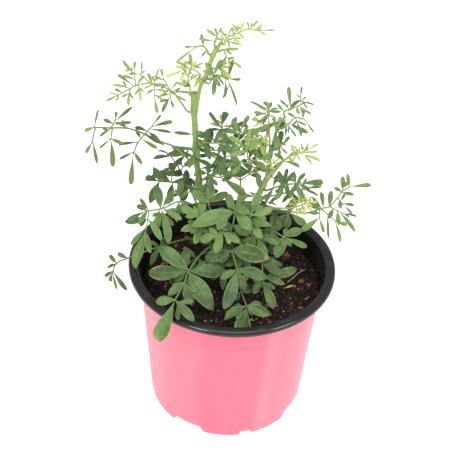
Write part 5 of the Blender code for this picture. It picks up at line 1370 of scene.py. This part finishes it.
def notch_height(turns):
    """How far the foot is cut away at each angle: four wide notches and four narrow ones."""
    rise = np.zeros_like(turns)
    for first, flat, whole, height in (WIDE, NARROW):
        off = np.abs((np.degrees(turns) - first + 45) % 90 - 45)
        rise = np.maximum(rise, height * np.clip((whole - off) / (whole - flat), 0, 1))
    return rise


edges = [first + 90 * quarter + side * off for quarter in range(4) for first, flat, whole, _ in (WIDE, NARROW)
         for side in (-1, 1) for off in (flat, whole)]
turns = np.radians(np.unique(np.round(np.concatenate([np.arange(0, 360, 1.5), np.mod(edges, 360)]), 3)))
print("columns round the pot:", len(turns))

# %% Drain holes
HOLES_AT, HOLE_RADIUS, FLOOR_Z = 22 * MM, 3.5 * MM, 5 * MM


def drained(mesh, name):
    """A mesh with the four drain holes cut through its floor."""
    body = bmesh.new()
    for quarter in range(4):
        turn = math.radians(45 + 90 * quarter)
        place = Matrix.Translation((HOLES_AT * math.cos(turn), HOLES_AT * math.sin(turn), FLOOR_Z))
        bmesh.ops.create_cone(body, cap_ends=True, segments=32, radius1=HOLE_RADIUS, radius2=HOLE_RADIUS,
                              depth=20 * MM, matrix=place)
    rod_mesh = bpy.data.meshes.new("drain_rods")
    body.to_mesh(rod_mesh)
    body.free()
    rods, holder = bpy.data.objects.new("drain_rods", rod_mesh), bpy.data.objects.new("holder", mesh)
    for thing in (rods, holder):
        scene.collection.objects.link(thing)
    cut = holder.modifiers.new("Cut", "BOOLEAN")
    cut.operation, cut.object = "DIFFERENCE", rods
    done = bpy.data.meshes.new_from_object(holder.evaluated_get(bpy.context.evaluated_depsgraph_get()))
    done.name = name
    for thing in (holder, rods):
        bpy.data.objects.remove(thing)
    return done


# %% [markdown]
# ### Pink outer layer
# A thin-walled pot is never quite round: the wall waves by a tenth of a millimetre or two, and its highlights
# with it. Its plastic is opaque and a little waxy, and pale bands down the wall are painted highlights. Up
# close it has the fine vertical lines of the mould, cloudy unevenness in the colour, a few dark marks, one
# faint painted shadow under the leaves that hang in front, and scuffs and specks of dust low down.

# %% Pink layer
SHEET = 0.6                    # thickness of the pink sheet
LONGEST = 5.0                  # longest side of an outline
FOOT_INNER = FOOT_RADIUS - 8.0
PINK_LINE = [(WALL_TOP_RADIUS, WALL_TOP_Z), (SHOULDER_RADIUS + SHOULDER_STEP, SHOULDER_Z + 0.8),
             (SHOULDER_RADIUS, SHOULDER_Z - 0.6), (FOOT_RADIUS + 0.06, 0.8), (FOOT_RADIUS - 0.64, 0.0),
             (FOOT_INNER, 0.0), (FOOT_INNER - 1, 5.0), (8.0, 5.0)]
line = subdivided(rounded(PINK_LINE, [1.2, 1.2, 0.3, 0.3, 0.7, 0.7]), LONGEST)
outline, inner = shell_outline(line, 0.0, SHEET)
radius, height = outline[:, :1], outline[:, 1:]
# The wall waves freely between the foot and the shoulder
free = np.clip((height - 6) / 20, 0, 1) * np.clip((86 - height) / 14, 0, 1)
wave = free * (0.22 * np.sin(2 * turns + 0.6) + 0.10 * np.sin(5 * turns + 2.0 + 0.02 * height)
               + 0.05 * np.sin(11 * turns + 0.05 * height))
lift = notch_height(turns) + SHEET * inner[:, None]
heights = np.where(lift > SHEET, np.maximum(height, lift), height + 0 * turns)
pink_mesh = drained(turned_mesh("pink_ring", radius + wave - 0.1 * free, heights, turns), "pot_pink_layer")

# Small marks on the wall, the third of them a broad faint painted shadow under the leaves that hang in front:
# x, y, z, size and strength
MARKS_AND_SHADOW = [(29.2, -44.1, 79.0, 1.0, 0.9), (29.2, -40.9, 50.5, 0.9, 0.7), (-18.2, -49.9, 81.5, 3.0, 0.3),
         (-12.0, 50.0, 66.0, 0.9, 0.8), (43.6, 23.4, 40.0, 0.8, 0.8)]
# Painted highlights: pale bands down the wall where light is reflected, each with the angle of the middle
# from the front, half the width, how much of that is full, and strength
PAINTED_HIGHLIGHT_BANDS = [(-1.10, 0.36, 0.2, 0.6), (-0.80, 0.62, 0.2, 0.55), (-0.38, 0.14, 0.2, 0.25), (0.50, 0.11, 0.4, 0.5),
         (0.70, 0.36, 0.4, 0.4), (1.22, 0.36, 0.2, 0.8), (2.4, 0.25, 0.3, 0.8), (-2.3, 0.22, 0.3, 0.8)]


def pink_finish():
    """Pink plastic: cloudy colour, painted highlights as pale bands, fine upright mould lines, dark marks
    with one painted shadow, dust and scuffs.

    The painted highlight bands follow the angle round the pot, counted from the front: each is a soft step up
    and down.
    """
    finish = Finish("pink_plastic", Roughness=0.3, Specular_IOR_Level=0.45)
    up = finish.axis(finish.place, 2)
    round_it = finish.axis(finish.place, 0).math("ARCTAN2", finish.axis(finish.place, 1) * -1.0)
    clouds, fine = finish.noise(28, 3), finish.noise(2200, 2)
    lines = finish.noise(420, 2, squeeze=(1, 1, 0.03))
    wander = round_it + (finish.noise(9, 1) - 0.5) * 0.12
    painted_highlights = 0.0
    for middle, wide, full, strength in PAINTED_HIGHLIGHT_BANDS:
        painted_highlights = (wander - middle).math("ABSOLUTE").step(wide, wide * full) * strength + painted_highlights
    specks = finish.cells(150).step(0.045, 0.03) * finish.noise(60, 2).step(0.50, 0.58)
    # dark marks, and the painted shadow among them
    for x, y, z, size, strength in MARKS_AND_SHADOW:
        mark_and_shadow = finish.distance((x * MM, y * MM, z * MM)).step(size * MM, size * 0.4 * MM)
        specks = mark_and_shadow * strength + specks
    scuffs = finish.noise(260, 4, squeeze=(1, 1, 3.0)).step(0.60, 0.72) * up.step(0.022, 0.004)
    colour = finish.layers(
        (0.93, 0.123, 0.197),
        (clouds, (0.93, 0.143, 0.221)),
        # painted highlights: pale bands where light is reflected down the wall
        (painted_highlights * 0.20, (0.95, 0.47, 0.49)),
        (lines.step(0.35, 0.8) * 0.08, (0.95, 0.27, 0.35)),
        (scuffs * 0.35, (0.80, 0.40, 0.45)),
        # dark specks and marks, with the painted shadow among them
        (specks * 0.6, (0.15, 0.04, 0.05)))
    finish.bump(fine * 0.2 + lines * 0.5 + clouds * 2.0, 0.05)
    return finish.paint(Base_Color=colour, Roughness=0.34 + clouds * 0.08 + scuffs * 0.25)


new_piece("pot_pink_fine", pink_mesh, pink_finish(), "pink_plastic", "pot_pink_layer")
print("pink layer:", len(pink_mesh.polygons), "faces")

# %% [markdown]
# ### Black inner layer
# It lines the pink one and rolls outwards over its edge into a rounded rim, which carries the pot when
# pots are stacked. The outline follows the sheet: up round the rim, over it, down the wall, and in over
# the floor. The wall inside is dulled by dried soil, most where the soil touches it.

# %% Black layer
BLACK_LINE = [(58.9, 95.9), (59.45, 95.75), (59.65, 96.8), (59.3, 97.8), (58.4, 98.45), (57.2, 98.65),
              (55.5, 98.35), (54.4, 97.6), (53.8, 96.3), (53.2, 94.7), (52.6, 93.0), (51.6, 79.6),
              (51.1, 77.9), (45.3, 9.0), (41.5, 6.4), (8.6, 6.4)]
CUTS = [0.2, 0.5, 0.5, 0.5, 0.5, 0.6, 0.6, 0.6, 0.6, 0.8, 0.5, 0.5, 1.5, 1.5]
line = subdivided(rounded(BLACK_LINE, CUTS), LONGEST)
outline, _ = shell_outline(line, -0.35, 0.35)
radius, height = outline[:, :1], outline[:, 1:]
wave = 0.10 * np.sin(2 * turns + 0.6) + 0.05 * np.sin(7 * turns + 0.8)
sag = np.clip((height - 90) / 6, 0, 1) * (0.10 * np.sin(3 * turns + 1.1) - 0.1)
black_mesh = drained(turned_mesh("black_ring", radius + wave, height + sag, turns), "pot_black_layer")


def black_finish():
    """Black plastic: a dull fine grain, dust and dried soil on the wall, and a rubbed edge on the rim."""
    finish = Finish("black_plastic", Roughness=0.4, Specular_IOR_Level=0.45)
    up = finish.axis(finish.place, 2)
    clouds, fine = finish.noise(90, 3), finish.noise(1800, 3)
    grime = finish.noise(350, 4).step(0.50, 0.72) * up.step(0.0900, 0.0845)
    dust = finish.noise(700, 2).step(0.6, 0.75) * clouds.step(0.45, 0.7)
    rubbed = up.step(0.0975, 0.0988) * finish.noise(120, 3).step(0.5, 0.75)
    colour = finish.layers(
        (0.014, 0.012, 0.012),
        (clouds * 0.5, (0.025, 0.022, 0.022)),
        (grime * 0.6, (0.055, 0.040, 0.028)),
        (dust * 0.12 + rubbed * 0.12, (0.16, 0.15, 0.145)))
    finish.bump(fine * 0.3 * up.step(0.0955, 0.092) + grime * 0.6, 0.08)
    return finish.paint(Base_Color=colour, Roughness=0.15 + clouds * 0.06 + grime * 0.5)


new_piece("pot_black_fine", black_mesh, black_finish(), "black_plastic", "pot_black_layer")
print("black layer:", len(black_mesh.polygons), "faces")

# %% [markdown]
# ## Soil
# Potting soil is peat and bark fibre in crumbs of every size. Its surface is a round grid: long waves,
# and over them lumps of three sizes, each from random heights on a square grid with smooth steps between
# them. Thousands of loose crumbs lie on it, and between them bark chips, clay pellets and white perlite.

# %% Soil surface
GRID = 256                     # random heights on a side of the square grid
LUMPS = [(0.55, 4.2), (0.5, 1.9), (0.35, 0.9)]         # height and size of each kind


def lumps(x, y, size, seed):
    """Value noise from -1 to 1: random heights on a grid with cells of a size, blended by smooth steps."""
    heights = np.random.default_rng(seed).uniform(-1, 1, (GRID, GRID))
    u, v = x / size + 100.0, y / size + 100.0
    i, j = np.floor(u).astype(int), np.floor(v).astype(int)
    s, t = u - i, v - j
    s, t = s * s * (3 - 2 * s), t * t * (3 - 2 * t)
    low, high = (heights[i % GRID, k % GRID] * (1 - s) + heights[(i + 1) % GRID, k % GRID] * s
                 for k in (j, j + 1))
    return low * (1 - t) + high * t


def ground(x, y):
    """The soil's height with its lumps of three sizes."""
    rough = sum(height * lumps(x, y, size, seed) for seed, (height, size) in enumerate(LUMPS, start=1))
    return soil_height(x, y) + rough


RINGS, ROUND_SOIL, SOIL_RADIUS = 84, 330, 51.2
UNDER = [(50.4, 76.0), (45.2, 13.0), (41.0, 7.4)]      # radius and height of the rings under the surface
circle = -np.linspace(0, 2 * np.pi, ROUND_SOIL, endpoint=False)[None]
far = np.concatenate([np.linspace(0, SOIL_RADIUS, RINGS + 1)[1:], [radius for radius, _ in UNDER]])[:, None]
x, y = far * np.cos(circle), far * np.sin(circle)
z = np.concatenate([ground(x[:RINGS], y[:RINGS]), [[height] * ROUND_SOIL for _, height in UNDER]])
points = np.stack([x, y, z], axis=-1).reshape(-1, 3)
points = np.concatenate([[[0, 0, ground(0.0, 0.0)]], points, [[0, 0, UNDER[-1][1]]]])
soil_mesh = new_mesh("soil", points, *ring_faces(1, len(far), ROUND_SOIL))
print("soil:", len(soil_mesh.polygons), "faces, heights", points[1:-1, 2].max().round(1))

# %% [markdown]
# ### Crumbs, chips and pellets
# Each kind is one small closed shape, repeated with its own size, turn and tone. The shape is made once,
# and all of its copies come from one product of arrays. A copy's tone picks its colour from a ramp:
# peat, brown fibre, bark, reddish clay, and white perlite at the end. A thin dry twig lies among them.


# %% Small pieces
# A kind of small piece: the rings of its shape and the points in a ring, how far it is tilted when it
# lies (0 leaves it nearly flat and only spins it, 1 turns it any way), and how far its points move out or in
Kind = namedtuple("Kind", "rows ring tumbled rough")
CRUMB, CHIP = Kind(2, 5, 1.0, 0.25), Kind(4, 8, 0.25, 0.30)
PELLET, GRAIN = Kind(7, 12, 0.3, 0.12), Kind(4, 8, 0.6, 0.28)


def pebble(rows, ring):
    """A ball's points: rings at equal angles between two poles."""
    polar = np.pi * np.arange(1, rows + 1)[:, None] / (rows + 1)
    round_it = np.linspace(0, 2 * np.pi, ring, endpoint=False)[None]
    ball = np.stack([np.sin(polar) * np.cos(round_it), np.sin(polar) * np.sin(round_it),
                     -np.cos(polar) + 0 * round_it], axis=-1).reshape(-1, 3)
    return np.concatenate([[[0, 0, -1]], ball, [[0, 0, 1]]])


def turns_between(angles, a, b):
    """Matrices that turn by each angle from one axis towards another."""
    result = np.tile(np.eye(3), (len(angles), 1, 1))
    result[:, a, a] = result[:, b, b] = np.cos(angles)
    result[:, b, a] = np.sin(angles)
    result[:, a, b] = -result[:, b, a]
    return result


def scattered(kind, places, sizes, tone, rng):
    """Copies of a pebble: stretched, roughened, turned at random, and set down at their places."""
    base, count = pebble(kind.rows, kind.ring), len(places)
    stretched = base * (sizes[:, None] * (1 + kind.rough * rng.uniform(-1, 1, (count, len(base), 1))))
    spin, tilt = rng.uniform(0, 2 * np.pi, count), rng.normal(0, 0.25, (2, count)) * (1 + 5 * kind.tumbled)
    turn = turns_between(tilt[1], 0, 2) @ (turns_between(tilt[0], 1, 2) @ turns_between(spin, 0, 1))
    points = stretched @ turn.transpose(0, 2, 1) + places[:, None]
    return (points.reshape(-1, 3), *ring_faces(count, kind.rows, kind.ring)), np.repeat(tone, len(base))


def on_ground(xy, sink):
    """Places on the soil at some x and y, sunk by an amount."""
    x, y = np.asarray(xy, float).T
    return np.stack([x, y, ground(x, y) - sink], axis=1)


rng = np.random.default_rng(11)
STREWN_RADIUS = 50.0


def strewn(count):
    """Random places on the soil's disc."""
    far, turn = STREWN_RADIUS * np.sqrt(rng.random(count)), rng.uniform(0, 2 * np.pi, count)
    return np.stack([far * np.cos(turn), far * np.sin(turn)], axis=1)


# Places of the larger bits that are seen, with a radius for clay; more bark and perlite is strewn about
BARK = [(23.7, 18), (14.3, -29.1), (21.6, -24.4), (43.3, -14.2), (-31.5, 19.9), (36, -5.3), (22.7, -35.8),
        (-28.5, 24.5), (-34.0, 27.0), (-25.0, 29.5), (-37.5, 18.0), (-30.0, 14.5), (-41.0, 8.0), (-36.0, 2.0)]
CLAY = [(40.8, -0.5, 2.2), (32.8, 21.5, 2.0), (45.2, -3.3, 1.6), (-28.2, 33.5, 2.1), (-27.6, -27.5, 2.0),
        (-0.9, -30.3, 1.8), (31, 22, 1.7), (-12, 40, 2.0)]
PERLITE = [(43, 15.4), (26.7, -24), (39.2, -23), (23.8, -16.6), (38.9, -7.7), (30.1, -27.8), (12.6, -34.1),
           (-13.5, -37.8), (-9.6, -38.3)]
CRUMBS, LOOSE_BARK, LOOSE_PERLITE = 3200, 60, 30
PALE = 0.24                    # share of the crumbs that are brown fibre
TWIG = [((32.5, -4.7, 88.6), (1, 1, 0.1)), ((38.0, 1.6, 89.4), (1, 1.6, 0.0)),
        ((43.3, 8.6, 87.8), (1, 1, -0.3))]                           # its points and directions
bits = []
spots, pale = strewn(CRUMBS), rng.random(CRUMBS) < PALE
size = rng.gamma(2.2, 0.30, CRUMBS).clip(0.3, 1.9) * np.where(pale, 0.62, 1.0)
sizes = size[:, None] * rng.uniform(0.6, 1.0, (CRUMBS, 3))
tone = np.where(pale, rng.uniform(0.36, 0.74, CRUMBS), rng.uniform(0, 0.24, CRUMBS))
bits.append(scattered(CRUMB, on_ground(spots, 0.25 * size), sizes, tone, rng))
spots = np.concatenate([BARK, strewn(LOOSE_BARK)])
size = np.concatenate([rng.uniform(2.2, 3.2, len(BARK)), rng.uniform(0.8, 1.9, LOOSE_BARK)])[:, None]
bits.append(scattered(CHIP, on_ground(spots, 0.1), size * np.array([1.0, 0.6, 0.34]),
                      rng.uniform(0.34, 0.66, len(size)), rng))
clay = np.array(CLAY)
bits.append(scattered(PELLET, on_ground(clay[:, :2], 0.1), clay[:, 2:] * np.array([1.0, 0.85, 0.8]),
                      rng.uniform(0.70, 0.78, len(clay)), rng))
spots = np.concatenate([PERLITE, strewn(LOOSE_PERLITE)])
size = np.concatenate([rng.uniform(0.45, 0.75, len(PERLITE)), rng.uniform(0.2, 0.45, LOOSE_PERLITE)])
sizes = size[:, None] * rng.uniform(0.6, 1.0, (len(size), 3))
bits.append(scattered(GRAIN, on_ground(spots, 0.05), sizes, rng.uniform(0.84, 0.98, len(size)), rng))
twig = hermite(TWIG, 8)
twig_skin = tube_skin(twig, np.linspace(0.34, 0.2, len(twig)), 7)
bits.append((twig_skin, np.full(len(twig_skin[0]), 0.86)))
skins, tones = zip(*bits)
bits_mesh = new_mesh("soil_bits", *joined(skins), {"tone": np.concatenate(tones)})
print("small pieces:", len(bits_mesh.polygons), "faces")


# %% Soil finishes
def soil_finish():
    """Moist peat: nearly black hollows, brown fibre, and grains that catch the light."""
    finish = Finish("potting_soil", Roughness=0.9, Specular_IOR_Level=0.25)
    clumps, grain, specks = finish.noise(330, 4), finish.noise(1400, 3), finish.noise(900, 2)
    fibre = finish.noise(700, 3, squeeze=(1, 0.2, 1))
    peat = finish.ramp(clumps * 0.55 + grain * 0.45, [
        (0.30, (0.004, 0.003, 0.003)), (0.50, (0.009, 0.007, 0.006)), (0.62, (0.022, 0.015, 0.012)),
        (0.76, (0.070, 0.048, 0.034))])
    colour = finish.layers(
        peat,
        (fibre.step(0.62, 0.74) * 0.5, (0.12, 0.070, 0.042)),
        (clumps.step(0.50, 0.66) * 0.35, (0.060, 0.024, 0.016)),
        (specks.step(0.61, 0.68) * 0.75, (0.17, 0.088, 0.052)),
        (grain.step(0.66, 0.73) * 0.7, (0.30, 0.22, 0.16)))
    finish.bump(clumps * 0.8 + grain * 0.7 + specks * 0.4, 0.7)
    return finish.paint(Base_Color=colour, Roughness=0.75 + grain * 0.25)


def bits_finish():
    """Each piece's tone picks its colour, with a little grain inside it."""
    finish = Finish("soil_bits", Roughness=0.85, Specular_IOR_Level=0.25)
    tone, grain, cracks = finish.attribute("tone"), finish.noise(1300, 3), finish.noise(620, 3)
    by_tone = finish.ramp(tone + (grain - 0.5) * 0.22, [
        (0.0, (0.006, 0.005, 0.004)), (0.17, (0.016, 0.011, 0.009)), (0.34, (0.075, 0.048, 0.032)),
        (0.48, (0.25, 0.125, 0.062)), (0.62, (0.36, 0.20, 0.10)), (0.70, (0.27, 0.095, 0.055)),
        (0.80, (0.32, 0.13, 0.08)), (0.92, (0.56, 0.52, 0.45))])
    cracked = cracks.step(0.50, 0.40) * tone.step(0.9, 0.7) * 0.8
    colour = finish.layers(by_tone, (cracked, (0.022, 0.011, 0.008)))
    finish.bump(grain + cracks, 0.7)
    return finish.paint(Base_Color=colour, Roughness=0.7 + grain * 0.3)


new_piece("soil_fine", soil_mesh, soil_finish(), "potting_soil", "soil")
new_piece("soil_bits", bits_mesh, bits_finish(), "potting_soil")

# %% [markdown]
# ### Fallen bits
# A few leaflets have dropped on the soil. They are the same blades as on the plant, laid flat.

# %% Fallen leaflets
# Place, direction, length, width, bend, age and luck
FALLEN = [((30.8, -7.5), 20, 6.5, 2.4, 0.05, 0.0, 0.97), ((16.2, -4.3), 70, 4.5, 3.4, 0.05, 0.6, 0.2),
          ((17.9, -1.5), 25, 22.0, 3.0, 0.12, 0.7, 0.3), ((33.5, 34.9), -20, 10.5, 2.2, 0.35, 0.15, 0.99),
          ((-34.0, -8.0), 130, 7.0, 2.4, 0.1, 0.5, 0.4), ((8.0, -37.0), 10, 6.0, 2.0, 0.1, 0.2, 0.9)]
rows = []
for (x, y), angle, length, width, bend, _, _ in FALLEN:
    along = unit((math.cos(math.radians(angle)), math.sin(math.radians(angle)), 0.06))
    root = np.array([x, y, ground(x, y) + 0.9])
    rows.append((root, along, *left_and_out((0, 0, 1), along), length, width, bend, 1.0))
*skin, uv = leaflet_skin(rows, rng)
age, luck = np.repeat([row[-2:] for row in FALLEN], len(uv) // len(rows), axis=0).T
fallen_mesh = new_mesh("fallen", *skin, {"uv": uv, "blade": blade_share(uv), "age": age, "luck": luck})
new_piece("fallen_bits", fallen_mesh, leaf_green, "leaf_young")

# %% [markdown]
# ## Floor
# A wide pale plane catches the soft shadow of the pot. It is a stage, not a part of the object.

# %% Floor
FAR = 25000.0                  # it ends beyond what any view shows
floor_points = np.array([(-FAR, -FAR, 0), (FAR, -FAR, 0), (FAR, FAR, 0), (-FAR, FAR, 0)])
floor_mesh = new_mesh("floor", floor_points, np.array([[0, 1, 2, 3]]), np.empty((0, 3), int))
floor = bpy.data.objects.new("floor", floor_mesh)
scene.collection.objects.link(floor)
paper = Finish("white_paper", Roughness=0.9, Specular_IOR_Level=0.1, Emission_Color=(1.0, 1.0, 1.0, 1.0),
               Emission_Strength=0.55)
paper.paint(Base_Color=paper.layers((0.93, 0.93, 0.93), (paper.noise(4, 2), (0.95, 0.95, 0.95))))
floor.data.materials.append(paper.material)
floor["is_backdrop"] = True

# %% Sizes, and the table of pieces
boxes = [[list(corner) for corner in box] for box in (solid_box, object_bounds())]
for name, box in zip(("solids", "visual"), boxes):
    print(name, [[round(value / MM, 1) for value in corner] for corner in box])
print("pieces:", len(pieces), "faces:", sum(len(piece.data.polygons) for piece in pieces))
